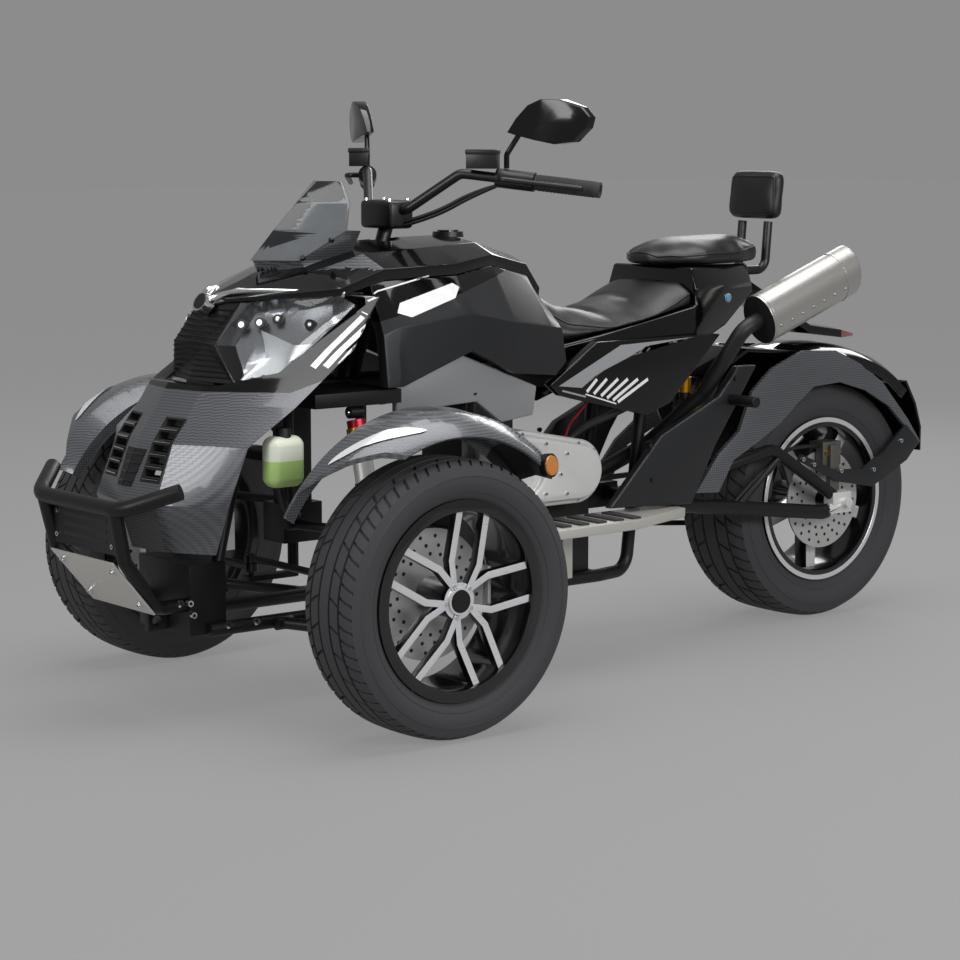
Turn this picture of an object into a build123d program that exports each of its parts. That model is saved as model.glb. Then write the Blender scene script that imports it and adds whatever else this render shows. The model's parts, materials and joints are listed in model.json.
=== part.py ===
"""Reverse motor trike: two steered wheels in front, one driven wheel behind, saddle seat and handlebar.

Millimetres, +X forward, +Y to the rider's left, +Z up. Inside this file x is measured from the
front axle; the finished solids are moved so that the middle of the overall length is at x = 0.
"""
import os
from math import asin, atan2, degrees

from build123d import *

# Driving dimensions
WHEELBASE = 1548.0
TRACK = 1050.0
FRONT_OVERHANG = 548.0
REAR_OVERHANG = 324.0
FRONT_TYRE_R, FRONT_TYRE_W = 288.0, 175.0
REAR_TYRE_R, REAR_TYRE_W = 303.0, 225.0
FRONT_WALL, REAR_WALL = 81.0, 96.0
BEAD_DEPTH, RIM_INSET = 16.0, 12.0
SPOKE_TURN = 60.8
FIT = 0.3
PIN_FIT = 0.05

# Steering
KINGPIN_Y = TRACK / 2 - 95.0
KINGPIN_R = 10.0
STEER_ARM = 110.0
TIE_ROD_Z = 300.0
TIE_ROD_R = 8.0
TIE_EYE_H = 18.0
SPINDLE_R = 15.0
COLUMN_TOP = (-262.0, 0.0, 1030.0)
COLUMN_FOOT = (-150.0, 0.0, 700.0)

# Suspension and frame
LOWER_ARM_Z, UPPER_ARM_Z = 190.0, 400.0
POST_X, POST_Y, POST_R = 95.0, 125.0, 12.0
TOWER_LOW, TOWER_HIGH, TOWER_Y = 654.3, 684.0, 250.0
EYE_R, EYE_H = 20.0, 24.0
RAIL_Y, RAIL_Z, RAIL_R = 110.0, LOWER_ARM_Z, 15.0
SPINE_Y, SPINE_LOW, SPINE_HIGH = 60.0, 640.0, 690.0
LUG_Y = 88.0
PIVOT_X, PIVOT_Z = -985.0, 345.0
ARM_SPAN = WHEELBASE + PIVOT_X
ARM_Y, ARM_R = 160.0, 18.0
AXLE_R = 12.0
SPROCKET_R, SPROCKET_T, CHAIN_Y = 88.0, 6.0, -127.0
OUTPUT_X, OUTPUT_Z, OUTPUT_R = -720.0, 330.0, 38.0
PLATE_GAP, PLATE_T = 3.6, 2.5
BULKHEAD_X = 330.0
TOW_R, TOW_T = 11.0, 16.0
PLATE_HOLE_R, PLATE_HOLE_Y, PLATE_HOLE_Z = 3.3, 55.0, REAR_TYRE_R + 137
ENGINE_Y = 105.0
SHOCK_FOOT_X, SHOCK_FOOT_Z = PIVOT_X - 0.293 * ARM_SPAN, 425.0
COVER_Y = ARM_Y + ARM_R + FIT
COVER_T = 22.0
MUFFLER_FRONT, MUFFLER_BACK = (-1178.0, 240.0, 780.0), (-1434.0, 240.0, 874.0)

# Body and controls
PILLION_Z = 904.0
TAIL_X = -1310.0
PAD_SEAT = 0.4
LAMP_BACK = -60.0
BOTTLE_Y = 222.0
PANEL_Y = 186.0
BAR_R, BAR_TUBE_R, COLUMN_R = 17.0, 11.0, 16.0

REAR_X = -WHEELBASE
BOX_SHIFT = (WHEELBASE + REAR_OVERHANG - FRONT_OVERHANG) / 2
AXIS_Y = Axis((0, 0, 0), (0, 1, 0))
NODES = {}


def node(name, *shapes):
    """Keep solids under a node's name."""
    NODES.setdefault(name, []).extend(s for shape in shapes for s in shape.solids())


def both(name, shape):
    """Keep a left-hand shape and its right-hand mirror image in one node."""
    node(name, shape, mirror(shape, about=Plane.XZ))


def pair(name, shape):
    """Keep a left-hand shape and its mirror image as two nodes."""
    node(name + "_left", shape)
    node(name + "_right", mirror(shape, about=Plane.XZ))


def rod(points, radius, bend=40.0):
    """Round bar along straight runs with bent corners."""
    path = Line(*points) if len(points) == 2 else FilletPolyline(*points, radius=bend)
    return sweep(Plane(origin=path @ 0, z_dir=path % 0) * Circle(radius), path=path)


def peg(start, end, radius):
    """Straight round pin from start to end."""
    run = Vector(end) - Vector(start)
    return Solid.make_cylinder(radius, run.length, Plane(start, z_dir=run))


def block(low, high):
    """Box between two corners."""
    size = [h - l for l, h in zip(low, high)]
    return Pos(*[(l + h) / 2 for l, h in zip(low, high)]) * Box(*size)


def skin(stations):
    """Ruled body through closed outlines [(x, [(y, z), ...]), ...] with equal point counts."""
    wires = [Wire.make_polygon([(x, y, z) for y, z in pts], close=True) for x, pts in stations]
    return Solid.make_loft(wires, ruled=True)


def mirrored(half):
    """Whole outline from its left half, listed from the top centre round to the bottom centre."""
    return half + [(-y, z) for y, z in reversed(half) if y > 0]


def plate(outline, y, thick):
    """Side panel: an x-z outline from y inwards by thick."""
    face = Face(Wire.make_polygon([(px, y, pz) for px, pz in outline], close=True))
    return extrude(face, amount=thick, dir=(0, -1, 0))


def turned(profile, centre, arc=360.0, start=0.0):
    """Solid of revolution about a wheel axis from a profile of (y, radius).

    Start and arc are in degrees from straight up, forward positive.
    """
    face = Face(Wire.make_polygon([(0, y, r) for y, r in profile], close=True))
    return Pos(*centre) * Rot(0, start, 0) * revolve(face, axis=AXIS_Y, revolution_arc=arc)


# Wheels
def tyre(centre, width, radius, rim_r):
    """Solid tyre ring with rounded sidewalls on a rim of flange radius rim_r."""
    bead_r = rim_r - BEAD_DEPTH
    half, wall = width / 2, radius - bead_r
    bead = half - RIM_INSET - 11
    shoulder = (half - 8, radius - 0.15 * wall)
    bulge = ThreePointArc((bead + 5, rim_r + FIT), (half, bead_r + 0.52 * wall), shoulder)
    points = [bulge @ (step / 6) for step in range(7)]
    side = [(bead, bead_r + FIT)] + [(p.X, p.Y) for p in points] + [(half - 26, radius - 3), (0, radius)]
    return turned(side + [(-y, r) for y, r in reversed(side) if y > 0], centre)


def barrel(half, rim_r):
    """Rim barrel with a flange of radius rim_r each side, as (y, radius)."""
    bead_r = rim_r - BEAD_DEPTH
    side = [(half, rim_r), (half, bead_r - 8), (half - 14, bead_r - 12)]
    back = [(half - 10, bead_r), (half - 5, rim_r)]
    inner = side + [(-y, r) for y, r in reversed(side)]
    outer = [(-y, r) for y, r in reversed(back)] + [(y, r) for y, r in back]
    return inner + [(y, r) for y, r in outer]


def spoke_arm(points, width, y, thick):
    """Flat spoke arm along points (across, outwards) in the wheel plane."""
    left = [(a - width / 2, b) for a, b in points]
    right = [(a + width / 2, b) for a, b in reversed(points)]
    face = Face(Wire.make_polygon([(a, y, b) for a, b in left + right], close=True))
    return extrude(face, amount=thick, dir=(0, -1, 0))


def front_wheel():
    """Left front wheel: tyre, five-pair spoked rim and drilled disc."""
    centre = (0, TRACK / 2, FRONT_TYRE_R)
    half = FRONT_TYRE_W / 2 - RIM_INSET
    rim_r = FRONT_TYRE_R - FRONT_WALL
    face_y, thick, hub_r, hub_back = half - 8, 20.0, 38.0, -30.0
    spoke_end = rim_r - BEAD_DEPTH - 8
    rim = turned(barrel(half, rim_r), (0, 0, 0))
    hub = turned([(face_y - 2, 0), (face_y - 2, hub_r), (hub_back, hub_r), (hub_back, 0)], (0, 0, 0))
    arms = []
    for k in range(5):
        for side in (-1, 1):
            arm = spoke_arm([(side * 18, 26), (side * 36, 78), (side * 35, spoke_end)], 15, face_y, thick)
            arms.append(Rot(0, SPOKE_TURN + 72 * k, 0) * arm)
    bore = peg((0, hub_back, 0), (0, hub_back + 60, 0), SPINDLE_R + PIN_FIT)
    rim = rim.fuse(hub, *arms) - bore
    disc_y = hub_back
    disc = turned([(disc_y - FIT, 60), (disc_y - FIT, 137), (disc_y - 5, 137), (disc_y - 5, 60)], (0, 0, 0))
    carrier = turned([(disc_y - FIT, 17), (disc_y - FIT, 64), (disc_y - 4, 64), (disc_y - 4, 17)], (0, 0, 0))
    place = Pos(*centre)
    pair("front_tyre", tyre(centre, FRONT_TYRE_W, FRONT_TYRE_R, rim_r))
    pair("front_rim", place * rim)
    pair("front_disc", place * disc.fuse(carrier))


def rear_wheel():
    """Rear wheel: wide tyre, five-spoke rim, disc on the left and sprocket on the right."""
    centre = (REAR_X, 0, REAR_TYRE_R)
    half = REAR_TYRE_W / 2 - RIM_INSET
    rim_r = REAR_TYRE_R - REAR_WALL
    hub_half, hub_r, sprocket_y = 95.0, 34.0, CHAIN_Y + SPROCKET_T / 2
    spoke_end, bore_r = rim_r - BEAD_DEPTH - 8, AXLE_R + PIN_FIT
    rim = turned(barrel(half, rim_r), (0, 0, 0))
    tube = [(hub_half, bore_r), (hub_half, hub_r), (sprocket_y, hub_r), (sprocket_y, bore_r)]
    hub = turned(tube, (0, 0, 0))
    arms = []
    for k in range(5):
        arm = plate([(-20, 28), (-15, spoke_end), (15, spoke_end), (20, 28)], 62, 40)
        arms.append(Rot(0, 36 + 72 * k, 0) * arm)
    bore = Rot(90, 0, 0) * Cylinder(bore_r, 3 * hub_half)
    rim = rim.fuse(hub, *arms) - bore
    ring = [(hub_half + FIT, 26), (hub_half + FIT, 124), (hub_half + 5, 124), (hub_half + 5, 26)]
    low, high = CHAIN_Y - SPROCKET_T / 2, sprocket_y - PIN_FIT
    sprocket = turned([(high, 26), (high, SPROCKET_R), (low, SPROCKET_R), (low, 26)], (0, 0, 0))
    place = Pos(*centre)
    node("rear_tyre", tyre(centre, REAR_TYRE_W, REAR_TYRE_R, rim_r))
    node("rear_rim", place * rim)
    node("rear_disc", place * turned(ring, (0, 0, 0)))
    node("rear_sprocket", place * sprocket)


def drive_chain():
    """Chain side plates in a loop round the rear sprocket and the engine's output sprocket."""
    plates = []
    for y in (CHAIN_Y + PLATE_GAP, CHAIN_Y - PLATE_GAP - PLATE_T):
        loops = []
        for grow in (6, -6):
            rear = Pos(REAR_X, REAR_TYRE_R) * Circle(SPROCKET_R + grow)
            front = Pos(OUTPUT_X, OUTPUT_Z) * Circle(OUTPUT_R + grow)
            loops.append(make_hull(rear.edges() + front.edges()))
        ring = extrude(loops[0] - loops[1], amount=PLATE_T)
        plates.append(Pos(0, y + PLATE_T, 0) * Rot(90, 0, 0) * ring)
    node("drive_chain", *plates)


# Running gear on the steered side
def knuckle():
    """Left upright with kingpin, spindle, steering arm and brake caliper."""
    hub_inner = TRACK / 2 - 30.0
    pin = peg((0, KINGPIN_Y, LOWER_ARM_Z - EYE_H), (0, KINGPIN_Y, UPPER_ARM_Z + EYE_H), KINGPIN_R)
    low, high = LOWER_ARM_Z + EYE_H / 2 + 5, UPPER_ARM_Z - EYE_H / 2 - 5
    body = block((-26, KINGPIN_Y - 16, low), (26, KINGPIN_Y + 16, high))
    spindle = peg((0, KINGPIN_Y, FRONT_TYRE_R), (0, hub_inner + 55, FRONT_TYRE_R), SPINDLE_R)
    collar = peg((0, KINGPIN_Y, FRONT_TYRE_R), (0, hub_inner - 8, FRONT_TYRE_R), 30)
    under = TIE_ROD_Z - TIE_EYE_H - 3
    arm = block((0, KINGPIN_Y - 12, under - 10), (STEER_ARM + 12, KINGPIN_Y + 12, under))
    ball = peg((STEER_ARM, KINGPIN_Y, under - 10), (STEER_ARM, KINGPIN_Y, TIE_ROD_Z + TIE_EYE_H + 3), 6)
    caliper = block((-150, hub_inner - 32, FRONT_TYRE_R - 45), (-96, hub_inner - 10.3, FRONT_TYRE_R + 45))
    outer = block((-150, hub_inner - 11, FRONT_TYRE_R - 45), (-143, hub_inner + 10, FRONT_TYRE_R + 45))
    lug = block((-100, KINGPIN_Y, FRONT_TYRE_R - 30), (-20, hub_inner - 14, FRONT_TYRE_R + 30))
    pair("knuckle", pin.fuse(body, spindle, collar, arm, ball, lug, caliper, outer))


def front_fender():
    """Left mudguard that turns with the wheel, pointed in front and behind, on a stay from the upright."""
    y0, gap = TRACK / 2, 26.0
    inner, outer, low = y0 - 108, y0 + 78, FRONT_TYRE_R + gap
    # y and radius along the outer skin, then back along the inner one
    profile = [(inner, low + 16), (inner, low + 42), (inner + 45, low + 70), (y0 + 10, low + 64),
               (y0 + 52, low + 44), (outer, low + 20), (outer - 5, low + 16), (y0 + 46, low + 38),
               (y0 + 8, low + 57), (inner + 42, low + 63), (inner + 6, low + 38), (inner + 6, low + 16)]
    shell = turned(profile, (0, 0, FRONT_TYRE_R), 115, -55)
    # plan lines (x, y) beyond which the outer corners are cut away
    side = outer + 60
    tip = [(120, outer + 9), (240, y0 + 6), (306, inner + 32), (420, inner + 32), (420, side), (120, side)]
    tail = [(-190, outer + 9), (-330, y0 - 30), (-420, y0 - 30), (-420, side), (-190, side)]
    for line in (tip, tail):
        face = Face(Wire.make_polygon([(x, y, FRONT_TYRE_R) for x, y in line], close=True))
        shell = shell - extrude(face, amount=2 * FRONT_TYRE_R, dir=(0, 0, 1))
    base = UPPER_ARM_Z + EYE_H
    stay = rod([(0, inner + 3, base), (0, inner + 3, FRONT_TYRE_R + low + 38)], 8)
    pair("front_fender", shell.fuse(stay))


def suspension():
    """Wishbones with their outer eyes, and the coil-over units between lower arm and tower."""
    # node: height, half spread at the frame, inner end, leg radius
    arms = {"lower_arms": (LOWER_ARM_Z, 120.0, RAIL_Y + RAIL_R + FIT, 14.0),
            "upper_arms": (UPPER_ARM_Z, POST_X, POST_Y + POST_R + FIT, 11.0)}
    foot_y, foot_z, top_y, eye = KINGPIN_Y - 85, LOWER_ARM_Z + 36, 235.0, 14.0
    for name, (z, spread, root, radius) in arms.items():
        hole = Pos(0, KINGPIN_Y, z) * Cylinder(KINGPIN_R + PIN_FIT, 2 * EYE_H)
        shape = Pos(0, KINGPIN_Y, z) * Cylinder(EYE_R, EYE_H)
        for side in (-1, 1):
            bush = peg((side * spread - 20, root + radius, z), (side * spread + 20, root + radius, z), radius)
            leg = rod([(side * spread, root + radius, z), (side * 14, KINGPIN_Y - 12, z)], radius - 1)
            shape = shape.fuse(bush, leg)
        if name == "lower_arms":
            shape = shape.fuse(block((-42, foot_y - 20, z - 8), (42, foot_y + 20, foot_z - eye - FIT)))
        both(name, shape - hole)
    top_z = TOWER_LOW - eye - FIT
    ends = [Pos(0, y, z) * Rot(0, 90, 0) * Cylinder(eye, 36) for y, z in ((foot_y, foot_z), (top_y, top_z))]
    foot, top = Vector(0, foot_y, foot_z), Vector(0, top_y, top_z)
    shape = peg(foot, top, 9).fuse(*ends, peg(foot + (top - foot) * 0.12, foot + (top - foot) * 0.9, 24))
    both("front_shocks", shape)


def steering_linkage():
    """Drop arm under the steering box and two tie rods to the uprights."""
    shaft = peg((0, 0, TIE_ROD_Z - 40), (0, 0, 372), 12)
    arm = block((0, -14, TIE_ROD_Z - 40), (STEER_ARM + 14, 14, TIE_ROD_Z - 28))
    pin = peg((STEER_ARM, 0, TIE_ROD_Z - 34), (STEER_ARM, 0, TIE_ROD_Z + TIE_EYE_H + 3), 6)
    node("drop_arm", shaft.fuse(arm, pin))
    for side, name in ((1, "left"), (-1, "right")):
        z = TIE_ROD_Z + side * TIE_EYE_H / 2 * 1.06
        ends = [Pos(STEER_ARM, y, z) * Cylinder(14, TIE_EYE_H) for y in (0, side * KINGPIN_Y)]
        bar = rod([(STEER_ARM, 0, z), (STEER_ARM, side * KINGPIN_Y, z)], TIE_ROD_R)
        holes = [Pos(STEER_ARM, y, z) * Cylinder(6 + PIN_FIT, 3 * TIE_EYE_H) for y in (0, side * KINGPIN_Y)]
        node(f"tie_rod_{name}", ends[0].fuse(ends[1], bar) - holes[0] - holes[1])


# Frame and engine
def frame():
    """Twin lower rails, backbone, shock towers, head tube, steering box and front bulkhead."""
    top = (SPINE_LOW + SPINE_HIGH) / 2
    shape = block((-1120, -SPINE_Y, SPINE_LOW), (160, SPINE_Y, SPINE_HIGH))
    shape = shape.fuse(block((-POST_X - 16, -TOWER_Y, TOWER_LOW), (POST_X + 16, TOWER_Y, TOWER_HIGH)))
    mast, gearbox = block((-30, -30, 420), (30, 30, SPINE_LOW + 5)), block((-50, -40, 340), (50, 40, 425))
    shape = shape.fuse(mast, gearbox)
    shape = shape.fuse(block((BULKHEAD_X - 90, -100, RAIL_Z - 10), (BULKHEAD_X, 100, RAIL_Z + 140)))
    for side in (-1, 1):
        y = side * RAIL_Y
        near = side * LUG_Y
        run = [(BULKHEAD_X - 40, y, RAIL_Z), (-790, y, RAIL_Z), (-895, near, RAIL_Z),
               (-940, near, SPINE_LOW - 60), (-940, side * 40, top)]
        rail = rod(run, RAIL_R, 45)
        brace = rod([(BULKHEAD_X - 60, side * 85, RAIL_Z + 60), (140, side * 45, top)], 14)
        foot, head = UPPER_ARM_Z - 14, TOWER_HIGH - 10
        posts = [peg((x, side * POST_Y, foot), (x, side * POST_Y, head), POST_R) for x in (-POST_X, POST_X)]
        lug = block((PIVOT_X - 28, near - 12, PIVOT_Z - 30), (-912, near + 12, PIVOT_Z + 30))
        hanger = peg((-700, side * 50, top), (-700, side * (PANEL_Y - FIT), top), 10)
        shape = shape.fuse(rail, brace, *posts, lug, hanger)
    shape = shape.fuse(*[rod([(x, -RAIL_Y, RAIL_Z), (x, RAIL_Y, RAIL_Z)], 13) for x in (-330.0, -780.0)])
    shape = shape.fuse(peg((-300, 0, SPINE_HIGH - 5), (-300, 0, 914.3), 18))
    shape = shape.fuse(block((150, 60, 545), (190, BOTTLE_Y - FIT, 562)), block((120, 40, 545), (190, 70, 562)))
    axis = Vector(*COLUMN_TOP) - Vector(*COLUMN_FOOT)
    head_low, head_high = Vector(*COLUMN_FOOT) - axis * 0.06, Vector(*COLUMN_FOOT) + axis * 0.3
    shape = shape.fuse(peg(head_low, head_high, 28))
    shape = shape - peg(Vector(*COLUMN_FOOT) - axis * 0.003, head_high + axis * 0.1, COLUMN_R + PIN_FIT)
    shape = shape - peg((PIVOT_X, -200, PIVOT_Z), (PIVOT_X, 200, PIVOT_Z), ARM_R + FIT)
    shape = shape - peg((0, 0, 330), (0, 0, 374), 12 + PIN_FIT)
    eye = block((BULKHEAD_X - 5, -TOW_T / 2, RAIL_Z - 8), (BULKHEAD_X + 44, TOW_T / 2, RAIL_Z + 34))
    hole = peg((BULKHEAD_X + 24, -TOW_T, RAIL_Z + 13), (BULKHEAD_X + 24, TOW_T, RAIL_Z + 13), TOW_R)
    node("frame", shape.fuse(eye) - hole)


def engine():
    """Plain engine block on the rails, output sprocket on the right and the drive cover on the left."""
    floor = RAIL_Z + RAIL_R + FIT
    shape = block((-765, -ENGINE_Y, floor), (-380, ENGINE_Y, 480))
    shape = shape.fuse(block((-560, -75, 470), (-410, 75, 615)))
    shape = shape.fuse(peg((OUTPUT_X, -90, OUTPUT_Z), (OUTPUT_X, CHAIN_Y - 3, OUTPUT_Z), 14))
    shape = shape.fuse(peg((OUTPUT_X, CHAIN_Y + 3, OUTPUT_Z), (OUTPUT_X, CHAIN_Y - 3, OUTPUT_Z), OUTPUT_R))
    node("engine_block", shape)
    big, small = Pos(-510, 468) * Circle(90), Pos(-676, 452) * Circle(74)
    outline = make_hull(big.edges() + small.edges())
    cover = Pos(0, ENGINE_Y + FIT, 0) * Rot(90, 0, 0) * extrude(outline, amount=-62)
    rim = Pos(0, ENGINE_Y + 62, 0) * Rot(90, 0, 0) * extrude(offset(outline, -12), amount=-16)
    dish = peg((-505, ENGINE_Y + 66, 468), (-505, ENGINE_Y + 120, 468), 62)
    node("engine_cover", cover.fuse(rim) - dish)


def exhaust():
    """Pipe from the engine's back to an oval silencer on the left of the tail."""
    start, end = Vector(*MUFFLER_FRONT), Vector(*MUFFLER_BACK)
    along = (end - start).normalized()
    lead = start - along * 55
    run = [(-765 - FIT, 40, 420), (-840, 40, 420), (-1010, 40, 480), (-1090, 140, 600)]
    node("exhaust_pipe", rod(run + [tuple(lead), tuple(start - along * FIT)], 19, 40))
    can = extrude(Ellipse(50, 61), amount=(end - start).length + 60)
    can = Plane(start, x_dir=(0, 1, 0), z_dir=along) * can
    slash = Pos(0, 0, 100) * Box(400, 400, 200)
    slash = Plane(end + along * 40, z_dir=(-0.95, 0, 0.2)) * slash
    node("muffler", can - slash)


# Rear end
def swingarm():
    """Tubular swingarm with pivot tube, axle and axle blocks, and the mono-shock."""
    reach = ARM_Y + ARM_R
    shape = peg((PIVOT_X, -reach, PIVOT_Z), (PIVOT_X, reach, PIVOT_Z), ARM_R)
    shape = shape.fuse(peg((SHOCK_FOOT_X, -ARM_Y, SHOCK_FOOT_Z), (SHOCK_FOOT_X, ARM_Y, SHOCK_FOOT_Z), 15))
    shape = shape.fuse(peg((REAR_X, -ARM_Y - 34, REAR_TYRE_R), (REAR_X, ARM_Y + 34, REAR_TYRE_R), AXLE_R))
    for side in (-1, 1):
        y = side * ARM_Y
        elbow = REAR_X + 0.426 * ARM_SPAN
        lower = rod([(PIVOT_X, y, PIVOT_Z), (REAR_X + 60, y, REAR_TYRE_R - 22), (REAR_X, y, REAR_TYRE_R - 8)],
                    ARM_R, 60)
        bend, end_z = (elbow, y, REAR_TYRE_R + 150), REAR_TYRE_R + 14
        upper = rod([(SHOCK_FOOT_X, y, SHOCK_FOOT_Z), bend, (REAR_X + 20, y, end_z)], 15, 0.1 * ARM_SPAN)
        strut = rod([(REAR_X + 0.62 * ARM_SPAN, y, REAR_TYRE_R + 25), (elbow - 25, y, REAR_TYRE_R + 130)], 10)
        end = block((REAR_X - 24, y - 16, REAR_TYRE_R - 26), (REAR_X + 40, y + 16, REAR_TYRE_R + 26))
        shape = shape.fuse(lower, upper, strut, end)
    node("swingarm", shape)
    eye = 14.0
    foot = Vector(SHOCK_FOOT_X, 0, SHOCK_FOOT_Z + 15 + eye + FIT)
    top = Vector(-1085, 0, SPINE_LOW - eye - FIT)
    ends = [Pos(*p) * Rot(90, 0, 0) * Cylinder(eye, 44) for p in (foot, top)]
    coil = peg(foot + (top - foot) * 0.14, foot + (top - foot) * 0.88, 30)
    node("rear_shock", peg(foot, top, 10).fuse(*ends, coil))


def rear_brake():
    """Caliper over the rear disc, on a bracket inside the left arm."""
    x, z, face = REAR_X, REAR_TYRE_R, ARM_Y - ARM_R - FIT
    slot = block((x - 60, 90, z), (x + 60, 105.2, z + 129.5))
    shape = block((x - 32, 82, z + 88), (x + 32, 130, z + 148)) - slot
    shape = shape.fuse(block((x - 16, 126, z - 20), (x + 16, face, z + 140)))
    node("rear_caliper", shape - peg((x, 0, z), (x, 200, z), AXLE_R + FIT))


# Rear mudguard blade, from its foot by the pivot to the tail: lower x and z, upper x and z from the rear
# axle, then the outer y
BLADE = [(453, 66, 522, 70, 196), (405, 140, 448, 157, 196), (322, 177, 378, 207, 193),
         (238, 217, 330, 298, 186), (163, 262, 248, 349, 172), (98, 295, 133, 385, 160), (3, 300, 13, 379, 156),
         (-92, 274, -82, 340, 152), (-187, 225, -165, 289, 150), (-252, 168, -266, 186, 148),
         (-296, 110, -321, 126, 140)]
# Stay from the caliper bracket to the tail: x and z from the rear axle
STAY = [(126, 127), (12, 80), (-90, 74), (-169, 111), (-250, 176), (-300, 128), (-256, 84), (-128, 25), (0, 49),
        (137, 113)]


def strip(rings):
    """Closed body of flat triangles through rings of four points."""
    corners = []
    for low, high in zip(rings, rings[1:]):
        for i in range(4):
            j = (i + 1) % 4
            corners += [(low[i], low[j], high[j]), (low[i], high[j], high[i])]
    for a, b, c, d in (rings[0][::-1], rings[-1]):
        corners += [(a, b, c), (a, c, d)]
    return Solid(Shell([Face(Wire.make_polygon(tri, close=True)) for tri in corners]))


def rear_fender():
    """Mudguard over the rear tyre: crown, hood, plate bracket, and a swept blade and a stay on each side."""
    half, crown, skin_t = 146.0, REAR_TYRE_R + 92, 6.0
    edge = half - skin_t
    hem = crown - 55
    outer = [(half, hem), (half, crown - 30), (half - 24, crown - 16), (70, crown - 4), (0, crown)]
    inner = [(edge, hem), (edge, crown - 33), (edge - 22, crown - 21), (69, crown - 10), (0, crown - skin_t)]
    over = outer + [(-y, r) for y, r in reversed(outer) if y > 0]
    under = inner + [(-y, r) for y, r in reversed(inner) if y > 0]
    shape = turned(over + under[::-1], (REAR_X, 0, REAR_TYRE_R), 98, -44)
    hood = []
    for x, z, w in ((REAR_X + 385, 628, 92), (REAR_X + 280, 690, 112), (REAR_X + 120, 677, 130)):
        hood.append((x, [(w, z), (w, z + 8), (-w, z + 8), (-w, z)]))
    shape = shape.fuse(skin(hood))
    rings = []
    for lx, lz, ux, uz, y in BLADE:
        ring = [(lx, y), (ux, y - 6), (ux, y - 16), (lx, y - 10)]
        heights = (lz, uz, uz, lz)
        rings.append([(REAR_X + x, py, REAR_TYRE_R + z) for (x, py), z in zip(ring, heights)])
    blade = strip(rings)
    stay = plate([(REAR_X + x, REAR_TYRE_R + z) for x, z in STAY], ARM_Y - ARM_R + 8, 8 - FIT)
    for part in (blade, stay):
        shape = shape.fuse(part, mirror(part, about=Plane.XZ))
    tip, low = REAR_X - REAR_OVERHANG, PLATE_HOLE_Z - 35
    tail = [(tip, low), (tip, low + 62), (tip + 22, low + 125), (tip + 58, low + 184), (tip + 64, low + 180),
            (tip + 28, low + 122), (tip + 6, low + 60), (tip + 5, low)]
    shape = shape.fuse(plate(tail, half - 12, 2 * half - 24))
    for y in (-PLATE_HOLE_Y, PLATE_HOLE_Y):
        shape = shape - peg((tip - 5, y, PLATE_HOLE_Z), (tip + 10, y, PLATE_HOLE_Z), PLATE_HOLE_R)
    node("rear_fender", shape)


def covers():
    """Dark covers beside the swingarm pivot, passenger pegs and footboards."""
    outline = [(-746, 362), (-1004, 350), (-1080, 485), (-1176, 618), (-1212, 668), (-1150, 668), (-1090, 600),
               (-905, 520)]
    both("swingarm_covers", plate(outline, COVER_Y + COVER_T, COVER_T))
    both("passenger_pegs", peg((-1130, COVER_Y + COVER_T + FIT, 590), (-1130, COVER_Y + 106, 590), 13))
    plan = [(-430, 150), (-430, 310), (-740, 300), (-960, 225), (-960, 150)]
    deck = Face(Wire.make_polygon([(x, y, 326) for x, y in plan], close=True))
    deck = extrude(deck, amount=22, dir=(0, 0, 1))
    legs = [block((x, ENGINE_Y + 1, RAIL_Z + RAIL_R + FIT), (x + 30, 170, 330)) for x in (-480, -660)]
    both("footboards", deck.fuse(*legs))


# Seats and tail
def seat_low(x):
    """Height of the rider seat's underside at x."""
    return 754 - 0.19 * (x + 732)


# Tail lamp arm: x, half width, underside, depth
LAMP_ARM = [(TAIL_X - FIT, 62, 838, 34), (-1440, 58, 772, 34), (-1540, 56, 718, 28), (-1660, 48, 702, 26),
            (-1738, 14, 700, 9)]
# Rider saddle: x, half width, crown height
SADDLE = [(-612.4, 92, 872), (-690, 135, 822), (-800, 158, 806), (-930, 166, 832), (-1049, 158, 886)]
# Passenger saddle: x, half width, crown height
PILLION = [(-1000, 40, 940), (-1048, 104, 954), (-1110, 138, 962), (-1240, 128, 966), (-1342, 78, 968)]
PAD_SIZE = (48.0, 176.0, 128.0)


def tail():
    """Tail fairing under both seats, backrest rail and lamp arm."""
    front, back = [], []
    for x, w in ((-613, 120), (-760, 150), (-1050, 160)):
        high, low = seat_low(x) - FIT, SPINE_HIGH + FIT
        front.append((x, mirrored([(0, high), (w, high), (w, low), (0, low)])))
    for x, w, low in ((-1050, 160, 720), (-1180, 125, 760), (TAIL_X, 80, 830)):
        high = PILLION_Z - FIT
        back.append((x, mirrored([(0, high), (w - 20, high), (w, high - 50), (w, low), (0, low)])))
    node("tail_fairing", skin(front).fuse(skin(back)))
    lamp = [(x, mirrored([(0, z + h), (w, z + 0.75 * h), (w, z), (0, z)])) for x, w, z, h in LAMP_ARM]
    node("tail_lamp", skin(lamp))
    rail_y, rail_z, rail_x, rail_top = 45.0, 884.0, -1396.0, 1002.0
    rail = [(TAIL_X - FIT, rail_y, rail_z), (rail_x + 10, rail_y, rail_z), (rail_x, rail_y, rail_top)]
    both("backrest_rail", rod(rail, 11, 30))
    lean = 6.0
    pad = fillet(Box(*PAD_SIZE).edges(), 18)
    place = Pos(rail_x - 4, 0, rail_top + PAD_SEAT + PAD_SIZE[2] / 2)
    node("backrest_pad", place * Rot(0, -lean, 0) * pad)


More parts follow.
